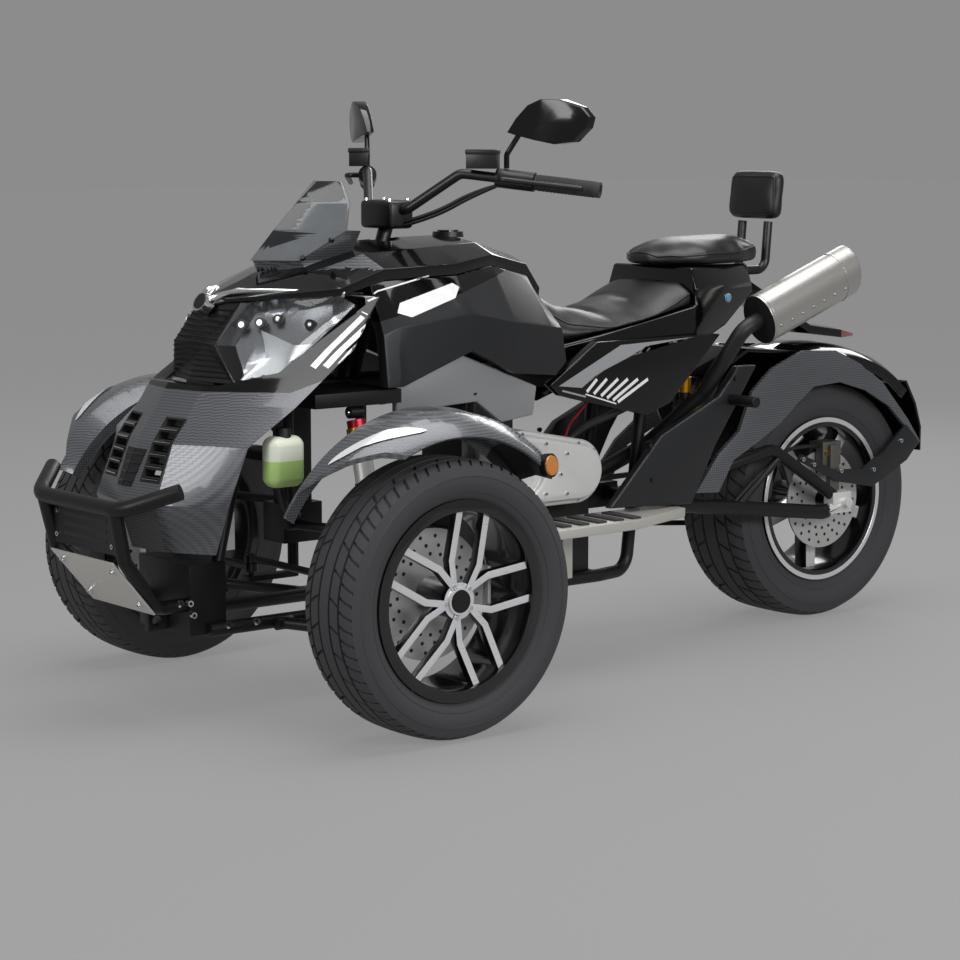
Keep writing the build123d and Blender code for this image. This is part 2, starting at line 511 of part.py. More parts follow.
def seats():
    """Rider and passenger saddles."""
    rider, pillion = [], []
    for x, w, crown in SADDLE:
        low = seat_low(x)
        rider.append((x, mirrored([(0, crown), (0.72 * w, crown - 8), (w, crown - 34), (w, low), (0, low)])))
    for x, w, crown in PILLION:
        low = PILLION_Z
        half = [(0, crown), (0.7 * w, crown - 5), (w, crown - 26), (w - 12, low), (0, low)]
        pillion.append((x, mirrored(half)))
    node("seat_rider", skin(rider))
    node("seat_passenger", skin(pillion))


# Bodywork
def stack(levels):
    """Ruled body through level outlines [(z, [(x, y), ...]), ...]."""
    wires = [Wire.make_polygon([(x, y, z) for x, y in pts], close=True) for z, pts in levels]
    return Solid.make_loft(wires, ruled=True)


def facets(front, back):
    """Closed body of flat triangles between two loops of points."""
    n, faces = len(front), []
    for loop, flip in ((front, False), (back, True)):
        mid = tuple(sum(p[k] for p in loop) / n for k in range(3))
        for i in range(n):
            tri = [loop[i], loop[(i + 1) % n], mid]
            faces.append(Face(Wire.make_polygon(tri[::-1] if flip else tri, close=True)))
    for i in range(n):
        a, b, c, d = front[i], front[(i + 1) % n], back[(i + 1) % n], back[i]
        faces += [Face(Wire.make_polygon(t, close=True)) for t in ((a, c, b), (a, d, c))]
    return Solid(Shell(faces))


def nose():
    """Front cowl with louvred vents, headlamps, mesh grille, upper cowl and screen."""
    # z, centre x, shoulder x and y, edge x and y
    levels = [(365, 405, 392, 110, 330, 205), (466, 438, 420, 118, 318, 236), (588, 385, 372, 112, 285, 260),
              (665, 335, 315, 105, 180, 278), (775, 270, 240, 104, 30, 272), (880, 200, 150, 100, -55, 250)]
    outline = []
    for z, cx, mx, my, ex, ey in levels:
        outer = [(cx, 0), (mx, my), (ex, ey)]
        inner = [(ex - 16, ey - 22), (mx - 26, my - 10), (cx - 28, 0)]
        back = [(x, -y) for x, y in reversed(inner[:2])]
        front = [(x, -y) for x, y in reversed(outer[1:])]
        outline.append((z, outer + inner + back + front))
    shell = stack(outline)
    bay = mirrored([(0, 890), (226, 890), (240.6, 865), (200.5, 730.6), (120, 701.4), (0, 705)])
    opening = Face(Wire.make_polygon([(-120, y, z) for y, z in bay], close=True))
    shell = shell - extrude(opening, amount=700, dir=(1, 0, 0))
    for side in (-1, 1):
        low, high = sorted((side * 52, side * 104))
        for k in range(5):
            z = 520 + 25 * k
            shell = shell - block((250, low, z), (520, high, z + 14))
    node("nose_cowl", *[s for s in shell.solids() if s.volume > 20000])
    lens = [(246, 80, 784), (223, 120, 702), (152, 200, 731), (-1, 240, 865), (25, 220, 884), (157, 80, 870)]
    both("headlamps", facets(lens, [(LAMP_BACK, y, z) for _, y, z in lens]))
    grille = [(262, 0, 705.6), (226, 119.3, 702.4), (247, 79.6, 784), (180, 79.6, 870), (206, 0, 870)]
    mesh = [(x, y, z) for x, y, z in grille] + [(x, -y, z) for x, y, z in reversed(grille[1:4])]
    node("front_grille", facets(mesh, [(120, y, z) for _, y, z in mesh]))


# Tank cover stations: x, crown, shoulder y and z, edge y and z
TANK = [(-100, 985, 130, 965, 205, 935), (-295, 992, 125, 975, 205, 940), (-424, 994, 105, 980, 168, 955),
        (-560, 955, 70, 945, 120, 928), (-612, 890, 60, 884, 105, 872)]
# Side fairing stations: x, top y and z, crease y and z, lower edge y and z
FAIRING = [(-60.3, 210.4, 901.5, 258, 800, 272, 690), (-100, 205, 909.7, 262, 815, 273, 690),
           (-295, 205, 914.7, 262, 835, 262, 755), (-424, 168, 929.7, 248, 810, 250, 698),
           (-560, 120, 902.7, 212, 792, 225, 684), (-600, 108, 859.4, 200, 785, 215, 712)]
# Screen levels: z, centre x, side x and y
SCREEN = [(952, 103, 34, 80), (1014, 44, -58, 122), (1072, -18, -84, 98), (1118, -72, -98, 50)]


def fairings():
    """Upper cowl with instrument pod, screen, tank cover and side panels."""
    cowl = [(200, [(0, 884), (30, 881), (60, 877), (60, 870.5), (30, 870.5), (0, 870.5)]),
            (25, [(0, 950), (120, 930), (222, 900), (222, 884.6), (80, 870.5), (0, 870.5)]),
            (-100, [(0, 985), (130, 965), (205, 935), (205, 910), (80, 878), (0, 878)])]
    pod = []
    for z, cx, sx, sy in [(900, 80, 0, 80)] + SCREEN[:2]:
        pod.append((z, [(cx - 6 - FIT, 0), (sx - 6 - FIT, sy), (-100, sy), (-100, -sy), (sx - 6 - FIT, -sy)]))
    node("upper_cowl", skin([(x, mirrored(h)) for x, h in cowl]).fuse(stack(pod)))
    pane = []
    for z, cx, sx, sy in SCREEN:
        pane.append((z, [(cx, 0), (sx, sy), (sx - 6, sy), (cx - 6, 0), (sx - 6, -sy), (sx, -sy)]))
    node("windscreen", stack(pane))
    axis = Vector(*COLUMN_TOP) - Vector(*COLUMN_FOOT)
    hole = peg(Vector(*COLUMN_FOOT), Vector(*COLUMN_TOP) + axis, 36)
    tank, panel = [], []
    for x, crown, sy, sz, ey, ez in TANK:
        tank.append((x, mirrored([(0, crown), (sy, sz), (ey, ez), (ey - 4, ez - 25), (0, ez - 25)])))
    node("tank_cover", skin(tank) - hole)
    for x, ty, tz, my, mz, ly, lz in FAIRING:
        panel.append((x, [(ty, tz), (my, mz), (ly, lz), (ly - 26, lz), (my - 30, mz), (ty - 30, tz - 10)]))
    both("side_fairings", skin(panel))
    front = -POST_X - 16 - FIT
    skirt = [(front, 694), (-180, 728), (-290, 745), (-500, 664), (-490, 600), (-400, 590), (-330, 640),
             (front, 630)]
    both("side_skirts", plate(skirt, 232, 18))
    side = [(-556, 662), (-590, 634), (-848, 573), (-920, 596), (-1080, 750), (-694, 750)]
    both("seat_side_panels", plate(side, PANEL_Y + 26, 26))


def front_end():
    """Bull bar with its posts, skid plate and the coolant bottle."""
    x = FRONT_OVERHANG - BAR_R
    shape = rod([(445, 258, 512), (x, 165, 470), (x, -165, 470), (445, -258, 512)], BAR_R, 80)
    post_r, plate_t = 15.0, 4.0
    knee, foot = Vector(x - 24, 0, 362), Vector(415, 0, 252)
    for side in (-1, 1):
        post = [(x, side * 145, 470), (knee.X, side * 138, knee.Z), (foot.X, side * 100, foot.Z),
                (BULKHEAD_X + 55, side * 82, 244), (BULKHEAD_X + FIT, side * 82, 244)]
        shape = shape.fuse(rod(post, post_r, 30))
    panel = block((x - 24, -138, 372), (x - 14, 138, 462))
    node("bull_bar", shape.fuse(panel))
    down = (foot - knee).normalized()
    out = Vector(-down.Z, 0, down.X)
    seat = out * (post_r + FIT)
    high, low = knee + seat - down * 10, foot + seat
    corners = [(high, 127), (high, -127), (low, -124), (low, 124)]
    back = [(p.X, y, p.Z) for p, y in corners]
    node("skid_plate", facets([(px + out.X * plate_t, y, z + out.Z * plate_t) for px, y, z in back], back))
    bottle = block((150, BOTTLE_Y, 500), (236, BOTTLE_Y + 56, 606))
    node("coolant_bottle", chamfer(bottle.edges(), 14))


# Controls
# Mirror shell outline: distance outwards from the neck, height
MIRROR = [(0, 1222), (24, 1252), (56, 1280), (92, 1293), (130, 1292), (178, 1275), (196, 1254), (190, 1232),
          (158, 1202), (122, 1197), (73, 1206), (24, 1216)]
MIRROR_SWEEP = 0.40
BAR_BEND, BAR_END = Vector(-332, 172, 1134), Vector(-512, 420, 1100)
GRIP_LENGTH, STEM_PLACE = 140.0, 212.0


def handlebar():
    """Bar, riser and column, grips, lever perches and mirrors, all turning about the column."""
    half = [(-258, 0, 1052), (-262, 70, 1054), tuple(BAR_BEND), tuple(BAR_END)]
    bar = rod(half, BAR_TUBE_R, 34)
    shape = bar.fuse(mirror(bar, about=Plane.XZ))
    shape = shape.fuse(peg(COLUMN_FOOT, COLUMN_TOP, COLUMN_R), block((-292, -58, 1012), (-226, 58, 1074)))
    node("handlebar", shape)
    along = (BAR_END - BAR_BEND).normalized()
    ahead = Vector(along.Y, -along.X, 0).normalized()
    up = Vector(0, 0, 1)
    bore = peg(BAR_BEND + along * 30, BAR_END + along * 50, BAR_TUBE_R + PIN_FIT)
    both("grips", peg(BAR_END - along * GRIP_LENGTH, BAR_END + along * 6, 17) - bore)
    perch = peg(BAR_END - along * 226, BAR_END - along * (GRIP_LENGTH + 1), 21) - bore
    start = BAR_END - along * STEM_PLACE
    reach = [start + ahead * 18, start + ahead * 48, start + ahead * 40 + along * 186]
    lever = rod([tuple(p) for p in reach], 6, 16)
    turn = degrees(atan2(along.Y, along.X))
    tank = Pos(*(start - along * 40 + ahead * 20 + up * 35)) * Rot(0, 0, turn) * Box(64, 44, 36)
    both("controls", perch.fuse(lever, tank))
    foot = start + up * 22.2 + along * 8
    neck = foot + Vector(-8, 8, 76)
    stem = rod([tuple(foot), tuple(foot + up * 30), (neck.X - MIRROR_SWEEP * 34, neck.Y + 24, 1234)], 6, 14)
    back, front = [], []
    for out, z in MIRROR:
        x, y = neck.X - MIRROR_SWEEP * out, neck.Y - 8 + 0.92 * out
        bulge = 1 - abs(out / 98 - 1)
        front.append((x + 8 + 14 * bulge, y, z))
        back.append((x - 12, y, z))
    both("mirrors", stem.fuse(facets(front, back)))


def export():
    """Write one STEP file for each node."""
    os.makedirs("parts", exist_ok=True)
    for name, solids in NODES.items():
        moved = [Pos(BOX_SHIFT, 0, 0) * s for s in solids]
        shape = moved[0] if len(moved) == 1 else Compound(children=moved)
        export_step(shape, f"parts/{name}.step")


if __name__ == "__main__":
    front_wheel()
    rear_wheel()
    drive_chain()
    knuckle()
    front_fender()
    suspension()
    steering_linkage()
    frame()
    engine()
    exhaust()
    swingarm()
    rear_brake()
    rear_fender()
    covers()
    tail()
    seats()
    nose()
    fairings()
    front_end()
    handlebar()
    export()
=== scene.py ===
"""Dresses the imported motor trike: finishes, tread, padded saddles, lamps and trim, lit in a plain studio."""
import json
import logging
import math
from dataclasses import dataclass, field
from enum import Enum
from typing import Callable, Iterable, Sequence

import bmesh
import bpy
from mathutils import Matrix, Vector
from mathutils.bvhtree import BVHTree


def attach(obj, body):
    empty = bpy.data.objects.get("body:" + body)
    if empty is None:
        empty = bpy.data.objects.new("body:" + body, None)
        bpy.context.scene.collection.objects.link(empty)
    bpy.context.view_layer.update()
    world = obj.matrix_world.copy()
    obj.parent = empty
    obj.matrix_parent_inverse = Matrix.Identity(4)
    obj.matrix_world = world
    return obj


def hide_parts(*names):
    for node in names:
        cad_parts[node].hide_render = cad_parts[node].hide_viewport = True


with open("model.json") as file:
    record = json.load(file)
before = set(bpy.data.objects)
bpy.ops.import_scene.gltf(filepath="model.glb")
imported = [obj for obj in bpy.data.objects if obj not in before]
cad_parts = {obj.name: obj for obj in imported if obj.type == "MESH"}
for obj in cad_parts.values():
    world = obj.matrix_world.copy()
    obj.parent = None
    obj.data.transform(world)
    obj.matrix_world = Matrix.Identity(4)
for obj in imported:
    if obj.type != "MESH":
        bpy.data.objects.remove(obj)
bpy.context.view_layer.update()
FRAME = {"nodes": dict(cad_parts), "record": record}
LOG = logging.getLogger("trike")
Point = tuple[float, float, float]
Flat = tuple[float, float]
Route = tuple[Point, ...]
Outline = Sequence[Flat]
Stripe = tuple[Flat, Flat]
MM = 0.001
# Millimetres from the middle of the trike's length forward to the front axle
AXLE_SHIFT = 662.0
# Middles of the left front wheel and of the rear wheel, in millimetres from the front axle
FRONT_HUB: Point = (0.0, 525.0, 288.0)
REAR_HUB: Point = (-1548.0, 0.0, 303.0)
# Clear of every piece: where a ray towards a panel starts
FAR_MM = 900.0
# The rider's left and right
SIDES = (1, -1)
AHEAD, LEFT, UP = Vector((1, 0, 0)), Vector((0, 1, 0)), Vector((0, 0, 1))


def at(x: float, y: float, z: float) -> Vector:
    """Turn millimetres from the front axle (forward, left and up) into metres in the shared frame."""
    return Vector(((x + AXLE_SHIFT) * MM, y * MM, z * MM))


def on_side(point: Point, side: int) -> Vector:
    """Place a point of the left side (side 1), or its twin on the right (side -1)."""
    x, y, z = point
    return at(x, side * y, z)


def linear(code: str) -> tuple[float, float, float, float]:
    """Turn an sRGB hex colour into linear values.

    Args:
        code: six hex digits with a leading #.

    Returns:
        Linear red, green, blue and an alpha of 1.
    """
    values = [int(code[i:i + 2], 16) / 255 for i in (1, 3, 5)]
    red, green, blue = [v / 12.92 if v <= 0.04045 else ((v + 0.055) / 1.055) ** 2.4 for v in values]
    return red, green, blue, 1.0


def feed(tree: bpy.types.NodeTree, node: bpy.types.Node, inputs: dict) -> None:
    """Set a node's inputs, or link them.

    Args:
        tree: the material's node tree.
        node: the node.
        inputs: socket name or number to a value, or to an output socket that feeds it.
    """
    for key, value in inputs.items():
        if isinstance(value, bpy.types.NodeSocket):
            tree.links.new(value, node.inputs[key])
        else:
            node.inputs[key].default_value = value


def add(tree: bpy.types.NodeTree, kind: str, inputs: dict | None = None, **settings) -> bpy.types.Node:
    """Add a shader node, set it up and link it.

    Args:
        tree: the material's node tree.
        kind: the node's type name without the ShaderNode prefix.
        inputs: as feed() takes them.
        settings: the node's own properties.

    Returns:
        The new node.
    """
    node = tree.nodes.new("ShaderNode" + kind)
    for name, value in settings.items():
        setattr(node, name, value)
    feed(tree, node, inputs or {})
    return node


class Grain(Enum):
    """What a surface shows close up."""

    PEEL = "lacquer with a faint orange peel"
    WEAVE = "two-colour twill under lacquer"
    LEATHER = "pebbled vinyl"
    BRUSHED = "fine parallel scratches"
    CAST = "sand-cast or moulded texture"
    RUBBER = "dull rubber with a slight bloom"


# Threads of the twill run along these two diagonals
THREAD_WAYS = ((0.7, 0.7, 0.7), (0.7, 0.7, -0.7))
# Keeps the checks' third direction away from the edge between two checks
CHECK_SHIFT = 0.31
# Scratches run along X
SCRATCH_STRETCH = (0.03, 1.0, 1.0)
# Layers of noise in a cast surface, and in smoother ones
CAST_DETAIL, SMOOTH_DETAIL = 5.0, 2.0
# A grain's low and high places are this much smoother and rougher
SMOOTHER, ROUGHER = 0.75, 1.25
COAT_ROUGHNESS = 0.04
BUMP_STRENGTH = 0.6


@dataclass(frozen=True)
class Finish:
    """One surface finish, named for what the real one is.

    Attributes:
        name: the material's name.
        slot: the record's material slot; not used.
        colour: main sRGB colour.
        second: the pattern's other sRGB colour.
        grain: what shows close up.
        pitch_mm: size of one grain, thread or scratch.
        relief_mm: height of the grain.
        metallic, roughness, coat, transmission, emission, specular: as the shader takes them.
    """

    name: str
    slot: str
    colour: str
    second: str
    grain: Grain
    pitch_mm: float
    relief_mm: float
    metallic: float = 0.0
    roughness: float = 0.4
    coat: float = 0.0
    transmission: float = 0.0
    emission: float = 0.0
    specular: float = 0.5

    def pattern(self, tree: bpy.types.NodeTree) -> bpy.types.NodeSocket:
        """Build the grain on Object coordinates.

        Args:
            tree: the material's node tree.

        Returns:
            The pattern's socket, from 0 to 1.
        """
        place = add(tree, "TexCoord").outputs["Object"]
        per_metre = 1000.0 / self.pitch_mm
        if self.grain is Grain.WEAVE:
            dots = [add(tree, "VectorMath", {0: place, 1: way}, operation="DOT_PRODUCT")
                    for way in THREAD_WAYS]
            rise, fall = [dot.outputs["Value"] for dot in dots]
            flat = add(tree, "CombineXYZ", {0: rise, 1: fall, 2: CHECK_SHIFT / per_metre})
            return add(tree, "TexChecker", {"Vector": flat.outputs[0], "Scale": per_metre}).outputs["Fac"]
        if self.grain is Grain.LEATHER:
            cell = add(tree, "TexVoronoi", {"Vector": place, "Scale": per_metre}, feature="SMOOTH_F1")
            return cell.outputs["Distance"]
        if self.grain is Grain.BRUSHED:
            place = add(tree, "Mapping", {"Vector": place, "Scale": SCRATCH_STRETCH}).outputs[0]
        detail = CAST_DETAIL if self.grain is Grain.CAST else SMOOTH_DETAIL
        noise = add(tree, "TexNoise", {"Vector": place, "Scale": per_metre, "Detail": detail})
        return noise.outputs["Fac"]

    def material(self) -> bpy.types.Material:
        """Make the material once and keep it under its name.

        Returns:
            The Blender material.
        """
        known = bpy.data.materials.get(self.name)
        if known:
            return known
        made = bpy.data.materials.new(self.name)
        made.use_nodes = True
        tree = made.node_tree
        shader = tree.nodes["Principled BSDF"]
        feed(tree, shader, {"Metallic": self.metallic, "Specular IOR Level": self.specular,
                            "Coat Weight": self.coat, "Coat Roughness": COAT_ROUGHNESS,
                            "Transmission Weight": self.transmission})
        if self.emission:
            feed(tree, shader, {"Emission Color": linear(self.colour), "Emission Strength": self.emission})
        grain = self.pattern(tree)
        tint = add(tree, "Mix", {0: grain, 6: linear(self.colour), 7: linear(self.second)}, data_type="RGBA")
        rough = add(tree, "MapRange", {0: grain, 3: SMOOTHER * self.roughness, 4: ROUGHER * self.roughness})
        relief = self.relief_mm * MM
        bump = add(tree, "Bump", {"Height": grain, "Strength": BUMP_STRENGTH, "Distance": relief})
        feed(tree, shader, {"Base Color": tint.outputs[2], "Roughness": rough.outputs[0],
                            "Normal": bump.outputs[0]})
        return made


# Lacquered ABS, moulded and polished: mirror-like black with a trace of orange peel
GLOSS_BLACK = Finish("lacquered_black_abs", "gloss_black", "#050506", "#0a0a0b", Grain.PEEL, 9.0, 0.02,
                     roughness=0.1, coat=0.3, specular=0.3)
# Satin charcoal paint with fine metal flake: soft broad highlights
CHARCOAL = Finish("satin_charcoal_paint", "charcoal", "#222325", "#2a2b2d", Grain.PEEL, 1.6, 0.01,
                  metallic=0.4, roughness=0.34, coat=0.1)
# Twill under lacquer: shimmers as it curves. Its threads are drawn 4 mm wide, coarser than real ones, to show
CARBON = Finish("lacquered_twill", "carbon_grey", "#505256", "#5f6165", Grain.WEAVE, 4.0, 0.01,
                metallic=0.4, roughness=0.32, coat=0.4)
# Moulded and painted pale grey: an even satin without sharp reflections
PALE_GREY = Finish("satin_pale_moulding", "light_grey", "#85878a", "#919396", Grain.CAST, 2.0, 0.02,
                   metallic=0.25, roughness=0.4)
# Powder-coated steel tube: even fine pebble, low gloss
POWDER_BLACK = Finish("black_powder_coat", "frame_black", "#0b0b0c", "#131314", Grain.CAST, 1.4, 0.03,
                      roughness=0.42, specular=0.35)
# Satin black paint sprayed on the bar and its fittings: a little brighter along edges
BAR_BLACK = Finish("satin_black_paint", "bar_black", "#0b0b0c", "#131314", Grain.CAST, 1.2, 0.02,
                   roughness=0.35)
# Baked rim paint: deep gloss black with clear reflections
RIM_BLACK = Finish("gloss_rim_paint", "rim_black", "#08080a", "#101012", Grain.PEEL, 6.0, 0.01,
                   roughness=0.18, coat=0.4)
# Diamond-turned aluminium: bright, with faint tool lines
TURNED_ALLOY = Finish("turned_alloy_face", "rim_black", "#e6e7e9", "#d6d7da", Grain.BRUSHED, 1.2, 0.01,
                      metallic=0.55, roughness=0.3)
# Ground stainless steel: pale, with fine grinding marks
DISC_STEEL = Finish("ground_disc_steel", "disc_steel", "#cbcbca", "#b4b4b3", Grain.BRUSHED, 1.0, 0.02,
                    metallic=0.55, roughness=0.34)
# Rolled and oiled chain steel: dark, with patchy shine
CHAIN_STEEL = Finish("oiled_chain_steel", "chain_steel", "#4a4a4b", "#333334", Grain.CAST, 2.0, 0.05,
                     metallic=0.9, roughness=0.38)
# Brushed stainless sleeve of the silencer: long soft streaks of light
BRUSHED_STEEL = Finish("brushed_sleeve_steel", "muffler_steel", "#c9c7c3", "#b1afab", Grain.BRUSHED, 0.9,
                       0.02, metallic=0.9, roughness=0.34)
# Bead-blasted die casting: an even pale satin
CAST_ALLOY = Finish("blasted_cover_alloy", "engine_silver", "#e2e2e1", "#d3d3d2", Grain.CAST, 1.1, 0.02,
                    metallic=0.45, roughness=0.38)
# Painted sand casting of the engine: dark and slightly grainy
ENGINE_DARK = Finish("painted_engine_casting", "engine_dark", "#121213", "#1c1c1d", Grain.CAST, 2.5, 0.08,
                     metallic=0.2, roughness=0.5)
# Raw grey casting of uprights and calipers: dull metal with a rough skin
CAST_GREY = Finish("cast_grey_alloy", "upright_grey", "#77756f", "#64625e", Grain.CAST, 1.8, 0.06,
                   metallic=0.8, roughness=0.42)
# Rolled and anodised sheet: pale, flat and softly streaked
SHEET_ALLOY = Finish("anodised_sheet_alloy", "silver_plate", "#cfccc6", "#c2bfb9", Grain.BRUSHED, 1.6, 0.01,
                     metallic=0.55, roughness=0.4)
# Chrome plate on trim and bolt heads: bright mirror
CHROME = Finish("bright_chrome", "silver_plate", "#e4e5e7", "#d8d9db", Grain.PEEL, 8.0, 0.005,
                metallic=1.0, roughness=0.14)
# Heat-proof paint on the exhaust: black and dry
HEAT_BLACK = Finish("heat_proof_black", "exhaust_black", "#0b0b0c", "#151515", Grain.CAST, 1.5, 0.05,
                    roughness=0.5)
# Moulded tyre rubber: dull, slightly grey where it has bloomed
TYRE_RUBBER = Finish("tyre_rubber", "tyre_rubber", "#0b0b0c", "#131314", Grain.RUBBER, 14.0, 0.05,
                     roughness=0.6, specular=0.12)
# Moulded grip rubber: matt, with a finer bloom
GRIP = Finish("grip_rubber", "grip_rubber", "#0b0b0c", "#131314", Grain.RUBBER, 4.0, 0.05, roughness=0.6)
# Embossed saddle vinyl: pebbles about 2.5 mm across, soft sheen
VINYL = Finish("embossed_saddle_vinyl", "seat_leather", "#0b0b0c", "#161617", Grain.LEATHER, 2.6, 0.12,
               roughness=0.42)
# Moulded polypropylene of grille and inner parts: flat black. The same black stands as painted shade in bolt
# sockets, disc holes, the bull bar's slots and the nose's middle vent
INNER_BLACK_AND_SHADE = Finish("inner_black_and_painted_shade", "grille_black", "#050506", "#0b0b0c", Grain.CAST, 2.0, 0.05,
                     roughness=0.45)
# Smoked acrylic of the screen: dark, clear and glossy
SMOKE = Finish("smoked_acrylic", "screen_smoke", "#2c2e31", "#343639", Grain.PEEL, 20.0, 0.005,
               roughness=0.06, transmission=0.6)
# The same acrylic with a painted reflection: paler where the screen turns to the side
SMOKE_PAINTED_REFLECTION = Finish("smoked_acrylic_painted_reflection", "screen_smoke", "#6a6d71", "#74777b", Grain.PEEL, 20.0, 0.005,
                    roughness=0.08, transmission=0.35)
# Moulded polycarbonate lens: clear, with sharp glints
LENS = Finish("clear_lamp_lens", "lamp_clear", "#f4f6f8", "#eff2f5", Grain.PEEL, 20.0, 0.005,
              roughness=0.05, transmission=1.0)
# Vacuum-metallised reflector: bright grey mirror
REFLECTOR = Finish("metallised_reflector", "lamp_clear", "#c3c5c8", "#a9abaf", Grain.PEEL, 10.0, 0.01,
                   metallic=0.9, roughness=0.2)
# Lacquered paint of the pale lamp blades: a clean highlight
LAMP_BLADE = Finish("pale_lamp_blade", "lamp_clear", "#e3e5e6", "#d6d8da", Grain.PEEL, 6.0, 0.01,
                    metallic=0.25, roughness=0.25, coat=0.4)
# Lit daytime diodes: warm white points
DIODE = Finish("white_diode", "lamp_clear", "#fff3d8", "#fffaf0", Grain.PEEL, 4.0, 0.005,
               roughness=0.3, emission=0.8)
# White vinyl film under lacquer: crisp stripes
STRIPE = Finish("white_stripe_film", "gloss_black", "#ececec", "#e2e2e2", Grain.PEEL, 12.0, 0.005,
                roughness=0.25, coat=0.3)
# Silver vinyl film with metal flake: pale grey that brightens in the light
SILVER_FILM = Finish("silver_stripe_film", "gloss_black", "#b4b6b9", "#a2a4a8", Grain.PEEL, 1.0, 0.005,
                     metallic=0.5, roughness=0.32, coat=0.3)
# Moulded amber acrylic with fine prisms: glows orange
AMBER = Finish("amber_acrylic", "carbon_grey", "#d08433", "#b06a2b", Grain.WEAVE, 3.0, 0.05,
               roughness=0.25, coat=0.5)
# Moulded red acrylic with prisms: deep red
TAIL_RED = Finish("red_tail_acrylic", "gloss_black", "#7d0a12", "#92101a", Grain.WEAVE, 4.0, 0.05,
                  roughness=0.2, coat=0.6)
# Turned and gold-anodised aluminium: warm, with faint tool lines
GOLD = Finish("gold_anodised_alloy", "shock_black", "#d29422", "#b97d12", Grain.BRUSHED, 1.4, 0.01,
              metallic=0.85, roughness=0.3)
# Red-anodised aluminium caps, and a red lead: saturated, half gloss
RED = Finish("red_anodised_alloy", "shock_black", "#a3142a", "#7f0d1f", Grain.PEEL, 2.0, 0.01,
             metallic=0.5, roughness=0.3)
# Stove-enamelled spring steel: black with a soft shine
SHOCK = Finish("spring_paint", "shock_black", "#121213", "#1a1a1c", Grain.CAST, 2.0, 0.02,
               roughness=0.3, coat=0.2)
# Blow-moulded polythene, milky above the coolant
BOTTLE_MILK = Finish("milky_polythene", "bottle", "#e2e6d6", "#d6dcc4", Grain.CAST, 60.0, 0.05, roughness=0.4)
# The same polythene where green coolant shows through
BOTTLE_GREEN = Finish("coolant_polythene", "bottle", "#b3cf84", "#a0c06c", Grain.CAST, 60.0, 0.05,
                      roughness=0.4)
# Blue-anodised clips and lock: pale and half bright
BLUE = Finish("blue_anodised_clip", "disc_steel", "#6db6d8", "#5aa4c8", Grain.PEEL, 2.0, 0.01,
              metallic=0.4, roughness=0.3)
# Silvered mirror glass: reflects the room
MIRROR = Finish("silvered_glass", "gloss_black", "#d6dade", "#d2d6da", Grain.PEEL, 30.0, 0.002,
                metallic=1.0, roughness=0.03)

BODIES = {node: body for body, nodes in FRAME["record"]["behaviour"]["bodies"].items() for node in nodes}
DONE: set[str] = set()
# A solid's vertices nearer than this are one, and its faces that turn less than this are one
SAME_PLACE_MM, SAME_FACE_DEGREES = 0.02, 0.4


def copied(node: str, width_mm: float = 0.0, least: float = 24.0,
           longer_mm: float = 0.0) -> bmesh.types.BMesh:
    """Copy a solid's mesh, join its triangles into flat faces and round its sharp edges.

    Args:
        node: the solid's name.
        width_mm: the rounding's width.
        least: the smallest turn in degrees that is rounded.
        longer_mm: only edges longer than this are rounded.

    Returns:
        The copy.
    """
    bm = bmesh.new()
    bm.from_mesh(FRAME["nodes"][node].data)
    bmesh.ops.remove_doubles(bm, verts=bm.verts, dist=SAME_PLACE_MM * MM)
    bmesh.ops.dissolve_limit(bm, angle_limit=math.radians(SAME_FACE_DEGREES), verts=bm.verts, edges=bm.edges)
    if width_mm:
        sharp = [e for e in bm.edges if e.is_manifold and e.calc_face_angle(0.0) > math.radians(least)
                 and e.calc_length() > longer_mm * MM]
        bmesh.ops.bevel(bm, geom=sharp, offset=width_mm * MM, affect="EDGES", segments=3, profile=0.5,
                        material=-1, clamp_overlap=True)
    return bm


# A bolt head's reach into its seat, its height and its upper radius, as shares of its radius
HEAD_SINK, HEAD_RISE, HEAD_TOP = 0.4, 0.75, 0.86
# Reach, height and radius of the dark core in the socket, a painted shade of its hollow
SOCKET_SHADE_SINK, SOCKET_SHADE_RISE, SOCKET_SHADE_RADIUS = 0.2, 0.02, 0.5


def placed(name: str, data: bpy.types.ID) -> bpy.types.Object:
    """Put new data into the scene as an object.

    Args:
        name: the object's name.
        data: its mesh, curve, lamp or camera.

    Returns:
        The object, at the origin.
    """
    made = bpy.data.objects.new(name, data)
    bpy.context.scene.collection.objects.link(made)
    return made


